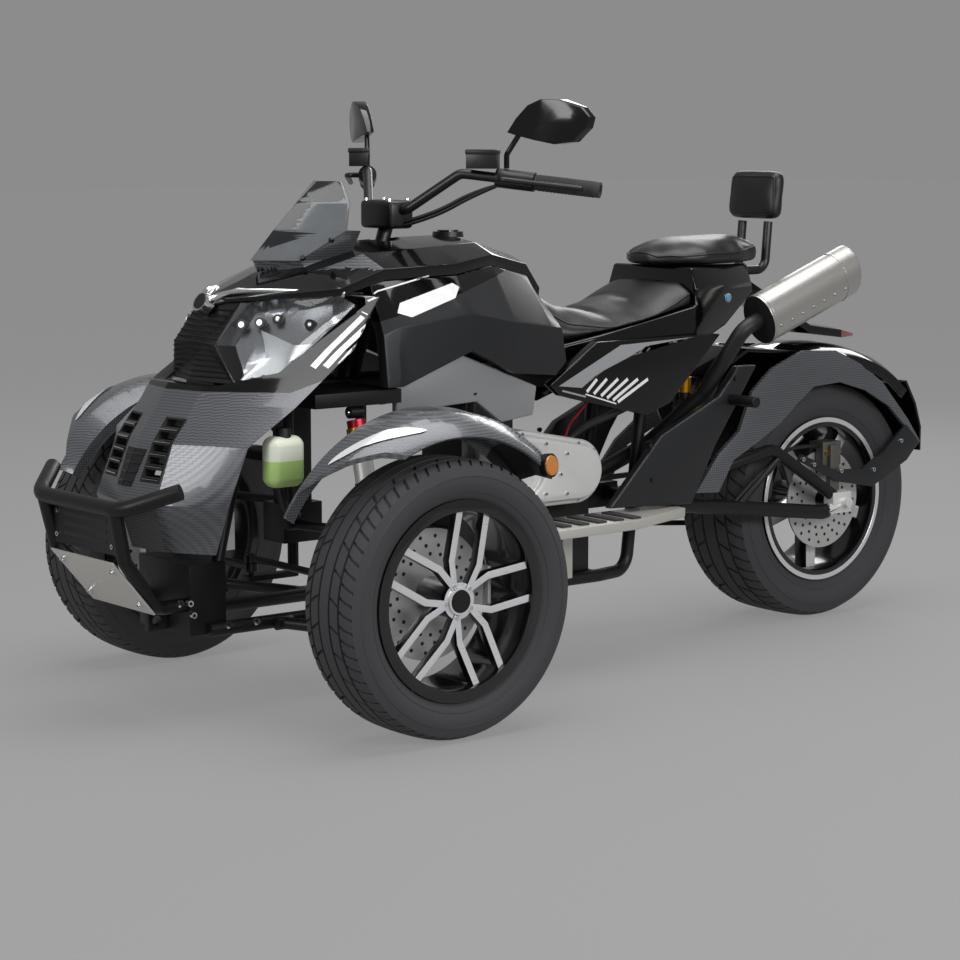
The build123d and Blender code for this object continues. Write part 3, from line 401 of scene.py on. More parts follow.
class Piece:
    """One dressed piece: shapes gathered in a mesh, each with its finish, riding on a body."""

    film_step_mm = 10.0
    film_rounds = 5
    film_nearest = 0.05

    def __init__(self, name: str, body: str) -> None:
        """Start an empty piece.

        Args:
            name: the piece's name.
            body: the body that carries it.
        """
        self.name, self.body = name, body
        self.bm = bmesh.new()
        self.finishes: list[Finish] = []
        self.hidden: list[str] = []

    def paint(self, faces: Iterable[bmesh.types.BMFace], finish: Finish) -> None:
        """Give faces a finish.

        Args:
            faces: the faces.
            finish: their finish.
        """
        if finish not in self.finishes:
            self.finishes.append(finish)
        number = self.finishes.index(finish)
        for face in faces:
            face.material_index = number

    def paint_where(self, finish: Finish, test: Callable[[Vector, Vector], bool]) -> None:
        """Give a finish to each face whose middle and normal pass a test."""
        self.paint([f for f in self.bm.faces if test(f.calc_center_median(), f.normal)], finish)

    def split(self, place: Vector, normal: Vector) -> None:
        """Cut the faces along a plane, so that a finish can stop there.

        Args:
            place: a place on the plane.
            normal: the plane's normal.
        """
        every = list(self.bm.verts) + list(self.bm.edges) + list(self.bm.faces)
        bmesh.ops.bisect_plane(self.bm, geom=every, dist=1e-6, plane_co=place, plane_no=normal)
        self.bm.normal_update()

    def merge(self, shape: bmesh.types.BMesh, finish: Finish) -> None:
        """Add a shape made by itself.

        Args:
            shape: the shape, freed afterwards.
            finish: its finish.
        """
        self.paint(shape.faces, finish)
        mesh = bpy.data.meshes.new("shape")
        shape.to_mesh(mesh)
        shape.free()
        self.bm.from_mesh(mesh)
        bpy.data.meshes.remove(mesh)

    def solid(self, node: str, finish: Finish, *rounding: float) -> None:
        """Take over a solid of the model, with edges rounded as copied() says."""
        self.merge(copied(node, *rounding), finish)
        self.hidden.append(node)

    def rod(self, start: Vector, end: Vector, radius: float, finish: Finish, tip: float | None = None,
            sides: int = 24) -> None:
        """Add a round bar or cone.

        Args:
            start: middle of one end.
            end: middle of the other end.
            radius: radius at the start.
            finish: its finish.
            tip: radius at the end, if it differs.
            sides: steps round it.
        """
        run = Vector(end) - Vector(start)
        turn = run.to_track_quat("Z", "Y").to_matrix().to_4x4()
        shape = bmesh.new()
        bmesh.ops.create_cone(shape, cap_ends=True, segments=sides, radius1=radius,
                              radius2=radius if tip is None else tip, depth=run.length,
                              matrix=Matrix.Translation((Vector(start) + Vector(end)) / 2) @ turn)
        self.merge(shape, finish)

    def bolt(self, place: Vector, out: Vector, radius: float, finish: Finish = CHROME) -> None:
        """Add a bolt head with a socket, shown by a dark core of painted shade.

        Args:
            place: middle of its seat.
            out: the way it faces.
            radius: the head's radius.
            finish: its finish.
        """
        way = Vector(out).normalized()
        top = place + way * radius * HEAD_RISE
        self.rod(place - way * radius * HEAD_SINK, top, radius, finish, HEAD_TOP * radius, 16)
        # The socket's hollow is a dark core: painted shade
        self.rod(top - way * radius * SOCKET_SHADE_SINK, top + way * radius * SOCKET_SHADE_RISE, radius * SOCKET_SHADE_RADIUS,
                 INNER_BLACK_AND_SHADE, sides=6)

    def lathe(self, profile: Outline, centre: Vector, finish: Finish, steps: int = 64) -> None:
        """Turn a profile about a line along Y.

        Args:
            profile: places along Y from the centre, and radii, in metres.
            centre: a place on the line.
            finish: its finish.
            steps: steps round it.
        """
        shape = bmesh.new()
        verts = [shape.verts.new(centre + Vector((0.0, y, r))) for y, r in profile]
        edges = [shape.edges.new(pair) for pair in zip(verts, verts[1:])]
        bmesh.ops.spin(shape, geom=verts + edges, cent=centre, axis=LEFT, angle=math.tau, steps=steps,
                       use_merge=True)
        bmesh.ops.recalc_face_normals(shape, faces=shape.faces)
        self.merge(shape, finish)

    def tube(self, points: Sequence[Vector], radius: float, finish: Finish, closed: bool = False) -> None:
        """Add a bent tube through points.

        Args:
            points: places along its middle.
            radius: its radius.
            finish: its finish.
            closed: whether it joins up.
        """
        run = bpy.data.curves.new("run", "CURVE")
        run.dimensions, run.bevel_depth, run.bevel_resolution, run.use_fill_caps = "3D", radius, 3, True
        line = run.splines.new("NURBS")
        line.points.add(len(points) - 1)
        for spot, place in zip(line.points, points):
            spot.co = (*place, 1.0)
        line.order_u, line.use_endpoint_u, line.use_cyclic_u, line.resolution_u = 3, not closed, closed, 6
        holder = placed("run", run)
        graph = bpy.context.evaluated_depsgraph_get()
        mesh = bpy.data.meshes.new_from_object(holder.evaluated_get(graph))
        shape = bmesh.new()
        shape.from_mesh(mesh)
        self.merge(shape, finish)
        bpy.data.objects.remove(holder)
        bpy.data.curves.remove(run)
        bpy.data.meshes.remove(mesh)

    def slab(self, corners: Sequence[Vector], depth: Vector, finish: Finish, round_mm: float = 0.0) -> None:
        """Add a flat plate.

        Args:
            corners: the outline of one side.
            depth: from that side to the other.
            finish: its finish.
            round_mm: rounding of its edges.
        """
        shape = bmesh.new()
        face = shape.faces.new([shape.verts.new(c) for c in corners])
        made = bmesh.ops.extrude_face_region(shape, geom=[face], use_keep_orig=True)
        moved = [g for g in made["geom"] if isinstance(g, bmesh.types.BMVert)]
        bmesh.ops.translate(shape, verts=moved, vec=depth)
        bmesh.ops.recalc_face_normals(shape, faces=shape.faces)
        if round_mm:
            bmesh.ops.bevel(shape, geom=shape.edges, offset=round_mm * MM, affect="EDGES", segments=2,
                            profile=0.5, material=-1, clamp_overlap=True)
        self.merge(shape, finish)

    def film(self, outline: Outline, surface: BVHTree, finish: Finish, side: int = 1,
             lift_mm: float = 0.7) -> None:
        """Lay a film on a side panel, in small triangles that follow its form.

        Args:
            outline: x and z in millimetres from the front axle.
            surface: the panel to lie on.
            finish: what the film is.
            side: 1 on the left, -1 on the right.
            lift_mm: how far it stands off.
        """
        shape = bmesh.new()
        shape.faces.new([shape.verts.new(at(x, side * FAR_MM, z)) for x, z in outline])
        for _ in range(self.film_rounds):
            bmesh.ops.triangulate(shape, faces=shape.faces)
            edges = [e for e in shape.edges if e.calc_length() > self.film_step_mm * MM]
            if edges:
                bmesh.ops.subdivide_edges(shape, edges=edges, cuts=1)
        lost = []
        for vert in shape.verts:
            place, normal, _, _ = surface.ray_cast(vert.co, Vector((0.0, -side, 0.0)))
            if place is None or place.y * side < self.film_nearest:
                lost.append(vert)
            else:
                vert.co = place + normal * lift_mm * MM
        bmesh.ops.delete(shape, geom=lost, context="VERTS")
        shape.normal_update()
        bmesh.ops.reverse_faces(shape, faces=[f for f in shape.faces if f.normal.y * side < 0])
        self.merge(shape, finish)

    def publish(self, crisp: float = 32.0) -> bpy.types.Object:
        """Turn the gathered shapes into an object on its body.

        Args:
            crisp: edges that turn by more than this angle in degrees stay sharp.

        Returns:
            The new object.
        """
        for face in self.bm.faces:
            face.smooth = True
        for edge in self.bm.edges:
            edge.smooth = edge.calc_face_angle(0.0) < math.radians(crisp)
        mesh = bpy.data.meshes.new(self.name)
        self.bm.to_mesh(mesh)
        self.bm.free()
        made = placed(self.name, mesh)
        for finish in self.finishes:
            mesh.materials.append(finish.material())
        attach(made, self.body)
        if self.hidden:
            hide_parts(*self.hidden)
            DONE.update(self.hidden)
        LOG.info("%s rides on %s, %d faces", self.name, self.body, len(mesh.polygons))
        return made


def finished(node: str, finish: Finish, *rounding: float) -> Piece:
    """Start a piece from the solid that it stands for.

    Args:
        node: the solid's name.
        finish: its finish.
        rounding: what copied() takes after the name.

    Returns:
        The piece, not yet published.
    """
    piece = Piece(node + "_finished", BODIES[node])
    piece.solid(node, finish, *rounding)
    return piece


def surface_of(*nodes: str) -> BVHTree:
    """Make a searchable surface of some solids.

    Args:
        nodes: the solids' names.

    Returns:
        The surface.
    """
    bm = bmesh.new()
    for node in nodes:
        bm.from_mesh(FRAME["nodes"][node].data)
    bm.normal_update()
    tree = BVHTree.FromBMesh(bm)
    bm.free()
    return tree


def from_front(surface: BVHTree, y: float, z: float) -> Vector | None:
    """Find where a ray from ahead, at y and z in millimetres, meets a surface."""
    return surface.ray_cast(at(FAR_MM, y, z), -AHEAD)[0]


def from_left(surface: BVHTree, x: float, z: float) -> Vector | None:
    """Find where a ray from the left, at x and z in millimetres, meets a surface."""
    return surface.ray_cast(at(x, FAR_MM, z), -LEFT)[0]


def on_circle(radius: float, degrees: float) -> Vector:
    """Find the place on a circle about Y that is turned forward from straight up."""
    return Matrix.Rotation(math.radians(degrees), 3, "Y") @ Vector((0.0, 0.0, radius))


def reach(place: Vector, centre: Vector) -> float:
    """Measure how far a place lies from the line along Y through a centre."""
    return math.hypot(place.x - centre.x, place.z - centre.z)


def along(edge: Sequence[Point], part: float) -> Vector:
    """Find the place at a share of an edge's corners.

    Args:
        edge: the edge's corners in millimetres.
        part: from 0 to 1.

    Returns:
        The place in metres.
    """
    spot = part * (len(edge) - 1)
    first = min(int(spot), len(edge) - 2)
    return at(*edge[first]).lerp(at(*edge[first + 1]), spot - first)


def at_height(line: Sequence[Point], z: float) -> Point:
    """Find where a line that climbs passes a height.

    Args:
        line: its corners from low to high, in millimetres.
        z: the height.

    Returns:
        The place in millimetres.
    """
    low, high = next((pair for pair in zip(line, line[1:]) if z < pair[1][2]), line[-2:])
    part = (z - low[2]) / (high[2] - low[2])
    return low[0] + part * (high[0] - low[0]), low[1] + part * (high[1] - low[1]), z


@dataclass
class WheelPart:
    """A piece that turns with a wheel.

    Attributes:
        node: the solid it stands for.
        centre: middle of the wheel.
    """

    node: str
    centre: Vector


@dataclass
class Tyre(WheelPart):
    """A road tyre: bulged walls with raised rings, grooved crown and slanted shoulder cuts.

    Attributes:
        radius: outer radius in metres, as the next two.
        half: half of its width.
        rim_radius: where the wall meets the rim.
        cuts: shoulder cuts round the tyre, each a quarter of its pitch wide.
        wall_steps: shares of the wall's height where its profile has a point.
        rings: first and last share of each raised ring.
        wall_inset: how far the wall's foot lies inside the tyre's width.
        wall_lean: how much farther out its top lies.
        wall_bulge: how far it swells between.
        shoulder_drop: share of the height between rim and crown that the shoulder takes.
        drawn_half: half width for which the crown's places across are given.
        crown_points: millimetres across and below the radius, from the shoulder to the middle.
        shoulder_span, rib_span: where a cut in the shoulder or rib starts and ends across.
        crown_depth: how far below the radius a face may lie and still be cut.
        cut_wall: how far a cut's wall leans in.
        slant: how much the cuts turn for each radius that they run across.
        slant_from: place across where the slant starts.
        slant_depth: how far below the radius the slant reaches.
    """

    radius: float
    half: float
    rim_radius: float
    cuts: int = 64
    wall_steps: tuple[float, ...] = (0.0, 0.08, 0.18, 0.21, 0.22, 0.27, 0.28, 0.4, 0.52, 0.64, 0.69, 0.7,
                                     0.75, 0.76, 0.88, 1.0)
    rings: Outline = ((0.215, 0.275), (0.695, 0.755))
    ring_rise: float = 0.0012
    wall_inset: float = 0.0185
    wall_lean: float = 0.010
    wall_bulge: float = 0.0123
    shoulder_drop: float = 0.15
    drawn_half: float = 0.0875
    crown_points: Outline = ((70, 6.2), (61, 3.0), (50, 1.8), (49.4, 8.2), (44.6, 8.2), (44, 1.4), (32, 0.8),
                             (20, 0.5), (19.4, 7.4), (14.6, 7.4), (14, 0.3))
    shoulder_span: Flat = (0.0505, 0.078)
    rib_span: Flat = (0.0205, 0.0435)
    crown_depth: float = 0.014
    cut_depth: float = 0.0045
    cut_wall: float = 0.0004
    slant: float = 0.55
    slant_from: float = 0.02
    slant_depth: float = 0.03

    def wall(self) -> list[Flat]:
        """List the wall from the rim to the shoulder.

        Returns:
            Places along Y and radii.
        """
        top = self.radius - self.shoulder_drop * (self.radius - self.rim_radius)
        places = []
        for step in self.wall_steps:
            raised = self.ring_rise if any(low < step < high for low, high in self.rings) else 0.0
            swell = self.wall_bulge * math.sin(math.pi * step)
            y = self.half - self.wall_inset + self.wall_lean * step + swell + raised
            places.append((y, self.rim_radius + step * (top - self.rim_radius)))
        return places

    def crown(self) -> list[Flat]:
        """List half of the crown with its grooves, from the shoulder to the middle."""
        part = self.half / self.drawn_half
        return [(y * part * MM, self.radius - low * MM) for y, low in self.crown_points]

    def is_cut(self, arm: Vector, steps: int) -> bool:
        """Tell whether a face of the crown lies in a cut.

        Args:
            arm: from the wheel's middle to the face's.
            steps: faces round the tyre.

        Returns:
            Whether it is sunk.
        """
        turn = int(math.floor((math.atan2(arm.x, arm.z) % math.tau) / math.tau * steps))
        across = abs(arm.y) / (self.half / self.drawn_half)
        shoulder = self.shoulder_span[0] < across < self.shoulder_span[1] and turn % 4 == 0
        rib = self.rib_span[0] < across < self.rib_span[1] and turn % 8 == 3
        return (shoulder or rib) and math.hypot(arm.x, arm.z) > self.radius - self.crown_depth

    def build(self) -> None:
        """Turn the profile, sink the shoulder cuts and slant them."""
        piece = Piece(self.node + "_tread", BODIES[self.node])
        half = self.wall() + self.crown()
        steps = 4 * self.cuts
        piece.lathe(half + [(-y, r) for y, r in reversed(half)], self.centre, TYRE_RUBBER, steps)
        sunk = [f for f in piece.bm.faces if self.is_cut(f.calc_center_median() - self.centre, steps)]
        bmesh.ops.inset_region(piece.bm, faces=sunk, thickness=self.cut_wall, depth=-self.cut_depth,
                               use_even_offset=True)
        start = self.slant_from * (self.half / self.drawn_half)
        for vert in piece.bm.verts:
            arm = vert.co - self.centre
            if math.hypot(arm.x, arm.z) > self.radius - self.slant_depth:
                turn = self.slant * max(0.0, abs(arm.y) - start) / self.radius
                vert.co = self.centre + Matrix.Rotation(turn, 3, "Y") @ arm
        piece.hidden.append(self.node)
        piece.publish(28.0)


@dataclass
class Rim(WheelPart):
    """A black rim whose spokes are turned bright on the face.

    Attributes:
        faces: places along Y of the turned faces, with the side each looks to.
        depth: how far a turned face may lie from its place.
        spoke_reach: radius within which faces are turned.
        cap: radius of the bare cap, or 0 for none.
        sunk: how far collar and nuts reach into the hub.
        nut_turn: degrees from straight up to the first nut.
        lip: place along Y of a bright lip and its radius.
        lip_points: the lip's profile: how far each point stands out, and how far inside the radius it lies.
    """

    faces: tuple[tuple[float, int], ...]
    depth: float = 0.0045
    spoke_reach: float = 0.192
    cap: float = 0.0
    cap_rise: float = 0.006
    collar_rise: float = 0.004
    sunk: float = 0.012
    nuts: int = 5
    nut_turn: float = 24.0
    nut_circle: float = 0.034
    nut_radius: float = 0.0055
    nut_rise: float = 0.001
    lip: Flat | None = None
    lip_points: Outline = ((0.0, 0.012), (0.0008, 0.011), (0.0008, 0.001), (0.0, 0.0))

    def add_cap(self, piece: Piece) -> None:
        """Set the cap in its collar, with the nuts round it.

        Args:
            piece: the rim.
        """
        plane, side = self.faces[0]
        hub = Vector((self.centre.x, plane, self.centre.z))
        out = LEFT * side
        piece.rod(hub - out * self.sunk, hub + out * self.collar_rise, self.cap + 0.003, TURNED_ALLOY,
                  self.cap + 0.002, 40)
        piece.rod(hub, hub + out * self.cap_rise, self.cap, GLOSS_BLACK, self.cap - 0.003, 40)
        for turn in range(self.nuts):
            seat = hub + on_circle(self.nut_circle, self.nut_turn + 360 / self.nuts * turn)
            piece.rod(seat - out * self.sunk, seat + out * self.nut_rise, self.nut_radius, CHROME, sides=6)

    def add_lips(self, piece: Piece) -> None:
        """Turn a bright lip on both sides.

        Args:
            piece: the rim.
        """
        plane, radius = self.lip
        for side in SIDES:
            ring = [(side * (plane + rise), radius - inside) for rise, inside in self.lip_points]
            piece.lathe(ring, self.centre, TURNED_ALLOY, 96)

    def build(self) -> None:
        """Copy the rim, turn its faces and add the cap, nuts and lip."""
        piece = finished(self.node, RIM_BLACK, 1.4)
        for plane, side in self.faces:
            piece.paint_where(TURNED_ALLOY, lambda c, n: n.y * side > 0.8 and abs(c.y - plane) < self.depth
                              and reach(c, self.centre) < self.spoke_reach)
        if self.cap:
            self.add_cap(piece)
        if self.lip:
            self.add_lips(piece)
        piece.publish()


@dataclass
class BrakeDisc(WheelPart):
    """A drilled disc on a dark carrier.

    Attributes:
        sides: the disc's two faces along Y.
        rows: radius of each row of holes and its offset in degrees.
        carrier: radius of the dark middle.
        proud: how far a hole's dark core, painted shade, passes the faces, to be seen.
    """

    sides: Flat
    rows: Outline
    carrier: float
    holes: int = 20
    hole_radius: float = 0.0042
    proud: float = 0.0003

    def build(self) -> None:
        """Copy the disc and show its holes as dark cores of painted shade."""
        piece = finished(self.node, DISC_STEEL, 0.4)
        for face in piece.bm.faces:
            if max(reach(vert.co, self.centre) for vert in face.verts) < self.carrier:
                piece.paint([face], ENGINE_DARK)
        low, high = self.sides
        middle = Vector((self.centre.x, 0.0, self.centre.z))
        # Each hole is a dark rod through the disc: painted shade
        for radius, offset in self.rows:
            for turn in range(self.holes):
                spot = middle + on_circle(radius, offset + 360 / self.holes * turn)
                start, end = spot + LEFT * (low - self.proud), spot + LEFT * (high + self.proud)
                piece.rod(start, end, self.hole_radius, INNER_BLACK_AND_SHADE, sides=14)
        piece.publish()


@dataclass
class FrontFender:
    """A leaf-shaped mudguard with a pale lamp strip, a dark flap and an amber reflector.

    Places on the guard are given in degrees forward of straight up, and millimetres from the trike's middle.

    Attributes:
        node: the solid it stands for.
        side: 1 on the left, -1 on the right.
        strip: corners of the lamp strip: two along its outer edge, two along its inner one.
        flap_angle: where the dark flap starts, in degrees behind straight up.
        flap_low: how far above the axle the flap ends, in metres.
        reflector: place and radius of the reflector.
        skin: the outer skin across: millimetres from the trike's middle, and radius about the axle.
        skin_lean: how far out a place moves for each millimetre that it lifts.
    """

    node: str
    side: int
    strip: Outline = ((12, 592), (40, 512), (11, 566), (43, 478))
    strip_lift: float = 2.2
    flap_angle: float = 38.0
    flap_low: float = 0.1
    reflector: Point = (-43, 588, 25)
    reflector_out: Point = (-0.25, 0.95, 0.1)
    skin: Outline = ((417, 356), (462, 384), (535, 378), (577, 358), (603, 334))
    skin_lean: float = 0.4

    def on_skin(self, turn: float, y: float, lift: float) -> Vector:
        """Find a place on the guard's outer skin.

        Args:
            turn: degrees forward of straight up.
            y: millimetres from the trike's middle.
            lift: millimetres off the skin.

        Returns:
            The place.
        """
        pair = next((p for p in zip(self.skin, self.skin[1:]) if p[0][0] <= y <= p[1][0]), self.skin[-2:])
        part = (y - pair[0][0]) / (pair[1][0] - pair[0][0])
        radius = pair[0][1] + part * (pair[1][1] - pair[0][1]) + lift
        angle = math.radians(turn)
        x, _, z = FRONT_HUB
        out = self.side * (y + self.skin_lean * lift)
        return at(x + radius * math.sin(angle), out, z + radius * math.cos(angle))

    def lamp(self, piece: Piece) -> None:
        """Lay the pale lamp strip along the guard's outer front edge, pointed at both ends.

        Args:
            piece: the guard.
        """
        (a0, y0), (a1, y1), (a2, y2), (a3, y3) = self.strip
        shape = bmesh.new()
        bmesh.ops.create_grid(shape, x_segments=24, y_segments=4, size=0.5)
        for vert in shape.verts:
            u = vert.co.x + 0.5
            v = 0.5 + vert.co.y * (1.0 - abs(2.0 * u - 1.0) ** 4)
            turn = (a0 + u * (a1 - a0)) * (1.0 - v) + (a2 + u * (a3 - a2)) * v
            y = (y0 + u * (y1 - y0)) * (1.0 - v) + (y2 + u * (y3 - y2)) * v
            vert.co = self.on_skin(turn, y, self.strip_lift)
        bmesh.ops.recalc_face_normals(shape, faces=shape.faces)
        shape.normal_update()
        bmesh.ops.reverse_faces(shape, faces=[f for f in shape.faces if f.normal.x < 0])
        piece.merge(shape, LAMP_BLADE)

    def build(self) -> None:
        """Copy the guard, split off the flap and add the lamp and reflector."""
        piece = finished(self.node, CARBON, 3.0)
        hub = on_side(FRONT_HUB, self.side)
        back = math.radians(self.flap_angle)
        normal = Vector((math.cos(back), 0.0, math.sin(back)))
        piece.split(hub, normal)
        piece.paint_where(POWDER_BLACK, lambda c, n: (c - hub).dot(normal) < 0 and c.z > hub.z + self.flap_low
                          and c.x < hub.x)
        self.lamp(piece)
        turn, y, radius = self.reflector
        place = self.on_skin(turn, y, 2.0)
        x, y, z = self.reflector_out
        out = Vector((x, y * self.side, z)).normalized()
        piece.rod(place - out * 0.010, place + out * 0.004, radius * MM, POWDER_BLACK, sides=32)
        piece.rod(place, place + out * 0.007, (radius - 2) * MM, AMBER, (radius - 5) * MM, sides=32)
        piece.publish(24.0)


@dataclass
class RearFender:
    """The rear mudguard: woven blade over a black crown, dark stay with bolts.

    Attributes:
        stay_reach: radius within which the dark stay lies, in metres, as the next four.
        stay_front: how far ahead of the axle it reaches.
        blade_from: half width of the crown, outside which the woven blade lies.
        blade_edge: half width outside which the blade's lower edge lies.
        blade_low: radius of that edge.
        bolts: x and z of the bolts, in millimetres.
        bolt_y: their seats' distance from the middle.
    """

    stay_reach: float = 0.288
    stay_front: float = 0.15
    blade_from: float = 0.1463
    blade_edge: float = 0.128
    blade_low: float = 0.336
    bolts: Outline = ((-1462, 402), (-1560, 378), (-1678, 372), (-1778, 438), (-1424, 418))
    bolt_y: float = 150.2

    def finish_of(self, place: Vector) -> Finish:
        """Pick the finish for a face.

        Args:
            place: the face's middle.

        Returns:
            Its finish.
        """
        arm = place - at(*REAR_HUB)
        away = math.hypot(arm.x, arm.z)
        if away < self.stay_reach and arm.x < self.stay_front:
            return CHARCOAL
        if abs(place.y) > self.blade_from or (abs(place.y) > self.blade_edge and away < self.blade_low):
            return CARBON
        return GLOSS_BLACK

    def build(self) -> None:
        """Copy the guard and finish its parts."""
        piece = finished("rear_fender", CARBON, 2.0)
        for face in piece.bm.faces:
            piece.paint([face], self.finish_of(face.calc_center_median()))
        for x, z in self.bolts:
            for side in SIDES:
                piece.bolt(at(x, side * self.bolt_y, z), LEFT * side, 0.006)
        piece.publish(24.0)


@dataclass
class NoseCowl:
    """The woven nose: black upper flanks, bright louvre blades and a middle vent whose dark recess is painted
    shade.

    Attributes:
        line: two places (x, z) on the line between weave and black.
        louvres: the dark louvre block: first and last place across, then its lower and upper edge.
        slot_rows: heights of the louvre slots in millimetres.
        slot_span: where a slot starts and ends across.
        slot_beside: how far beside a slot the skin is looked for.
        blade_drop: how far below a slot's middle its blade lies.
        skin_drop: how far below it the skin is looked for.
        vent: half of the middle vent's outline, y and z.
    """

    line: Stripe = ((171, 692), (12, 755))
    louvres: tuple[float, float, float, float] = (46, 110, 508, 638)
    slot_rows: tuple[float, ...] = (520, 545, 570, 595, 620)
    slot_span: Flat = (52, 104)
    slot_beside: float = 4
    blade_drop: float = 7
    skin_drop: float = 9
    vent: Outline = ((1, 496), (26, 496), (36, 572), (1, 572))
    vent_bars: int = 4

    def colours(self, piece: Piece) -> None:
        """Split the faces where a finish stops, and finish them.

        Args:
            piece: the nose.
        """
        (x0, z0), (x1, z1) = self.line
        start = at(x0, 0, z0)
        run = at(x1, 0, z1) - start
        up = Vector((run.z, 0.0, -run.x))
        piece.split(start, up)
        piece.split(at(0, 0, z0), UP)
        piece.paint_where(GLOSS_BLACK, lambda c, n: (c - start).dot(up) > 0 and c.z > z0 * MM)
        inner, outer, low, high = self.louvres
        for z in (low, high):
            piece.split(at(0, 0, z), UP)
        for y in (inner, outer):
            for side in SIDES:
                piece.split(at(0, y * side, 0), LEFT)
        piece.paint_where(INNER_BLACK_AND_SHADE, lambda c, n: inner * MM < abs(c.y) < outer * MM
                          and low * MM < c.z < high * MM)

    def middle_vent(self, piece: Piece, skin: BVHTree) -> None:
        """Set the barred vent on the ridge, one half each side: a dark slab of painted shade under its bars.

        Args:
            piece: the nose.
            skin: its surface.
        """
        for side in SIDES:
            corners = [from_front(skin, side * y, z) + Vector((0.0018, 0, 0)) for y, z in self.vent]
            # A dark slab stands for the vent's recess: painted shade
            piece.slab(corners, Vector((-0.006, 0, 0)), INNER_BLACK_AND_SHADE)
            for step in range(self.vent_bars):
                part = 0.14 + 0.24 * step
                start, end = corners[0].lerp(corners[3], part), corners[1].lerp(corners[2], part)
                piece.rod(start, end, 0.0024, CHARCOAL, sides=8)

    def blades(self, piece: Piece, skin: BVHTree) -> None:
        """Set a blade with a bright rim in the lower edge of each slot.

        Args:
            piece: the nose.
            skin: its surface.
        """
        inner, outer = self.slot_span
        slope, rim = Vector((-0.014, 0.0, 0.006)), Vector((0.0004, 0.0, 0.0015))
        for z in self.slot_rows:
            for side in SIDES:
                ends = []
                for y, beside in ((inner, inner - self.slot_beside), (outer, outer + self.slot_beside)):
                    hit = from_front(skin, side * beside, z - self.skin_drop)
                    ends.append(Vector((hit.x, side * y * MM, (z - self.blade_drop) * MM)))
                first, last = ends
                piece.slab([first, last, last + slope, first + slope], Vector((0, 0, 0.003)), GLOSS_BLACK)
                piece.rod(first + rim, last + rim, 0.0009, CHROME, sides=8)

    def build(self) -> None:
        """Copy the nose and finish it."""
        piece = finished("nose_cowl", CARBON, 3.0, 14.0)
        skin = surface_of("nose_cowl")
        self.colours(piece)
        self.middle_vent(piece, skin)
        self.blades(piece, skin)
        piece.publish(20.0)


@dataclass
class Headlamps:
    """Clear lenses over dark housings, with reflectors, a pale blade and a row of diodes.

    Attributes:
        low: the lens's lower edge from the middle outwards, in millimetres.
        high: its upper edge.
        blade: outline of the pale blade, x and z.
        blade_lift: how far the blade stands off the lens, in millimetres.
        diodes: places of the lit diodes, on the lens.
        diode_back: how far behind that place a diode's face lies, along x and y.
        bulge: how far the lens's middle swells, in metres.
        housing_sink: how far the housing lies behind the lens.
        lens_lift: how far the lens lies off its edges.
    """

    low: Route = ((246, 80, 784), (223, 120, 702), (152, 200, 731), (-1, 240, 865))
    high: Route = ((157, 80, 870), (92, 150, 880), (25, 220, 884))
    blade: Outline = ((221, 706), (183, 700), (118, 728), (54, 786), (130, 786), (164, 815), (172, 764))
    blade_lift: float = -4.0
    diodes: Route = ((203, 110, 826), (171, 130, 830), (139, 150, 836), (88, 194, 824))
    diode_back: Flat = (6, 4)
    diode_out: Point = (0.8, 0.5, 0.2)
    bulge: float = 0.012
    bulge_way: Point = (0.75, 0.55, 0.35)
    housing_sink: float = 0.026
    lens_lift: float = 0.001

    def sheet(self, piece: Piece, side: int, sink: float, finish: Finish) -> BVHTree:
        """Lay a bulged sheet between the lens's edges.

        Args:
            piece: the lamps.
            side: 1 on the left, -1 on the right.
            sink: how far the sheet's middle lies behind the lens.
            finish: what it is.

        Returns:
            The sheet's surface.
        """
        shape = bmesh.new()
        bmesh.ops.create_grid(shape, x_segments=24, y_segments=12, size=0.5)
        for vert in shape.verts:
            u, v = vert.co.x + 0.5, vert.co.y + 0.5
            place = along(self.low, u).lerp(along(self.high, u), v)
            inside = min(1.0, 8.0 * min(u, 1.0 - u, v, 1.0 - v))
            swell = self.bulge * math.sin(math.pi * u) * math.sin(math.pi * v) - sink * inside
            place += Vector(self.bulge_way) * swell
            place.y *= side
            vert.co = place
        shape.normal_update()
        bmesh.ops.reverse_faces(shape, faces=[f for f in shape.faces if f.normal.x + side * f.normal.y < 0])
        skin = BVHTree.FromBMesh(shape)
        piece.merge(shape, finish)
        return skin

    def build(self) -> None:
        """Build the housings with their lamps, and the lenses over them."""
        inside = Piece("lamp_housings", BODIES["headlamps"])
        lens = Piece("lamp_lenses", BODIES["headlamps"])
        back, inward = self.diode_back
        for side in SIDES:
            self.sheet(inside, side, self.housing_sink, REFLECTOR)
            glass = self.sheet(lens, side, -self.lens_lift, LENS)
            inside.film(self.blade, glass, LAMP_BLADE, side, self.blade_lift)
            x, y, z = self.diode_out
            out = Vector((x, y * side, z)).normalized()
            for x, y, z in self.diodes:
                place = at(x - back, side * (y - inward), z)
                inside.rod(place - out * 0.02, place, 0.010, INNER_BLACK_AND_SHADE, 0.011, 24)
                inside.rod(place - out * 0.004, place + out * 0.001, 0.0075, REFLECTOR, 0.006, 20)
                inside.rod(place - out * 0.004, place + out * 0.002, 0.0035, DIODE, 0.003, 16)
        lens.hidden.append("headlamps")
        inside.publish()
        lens.publish(60.0)


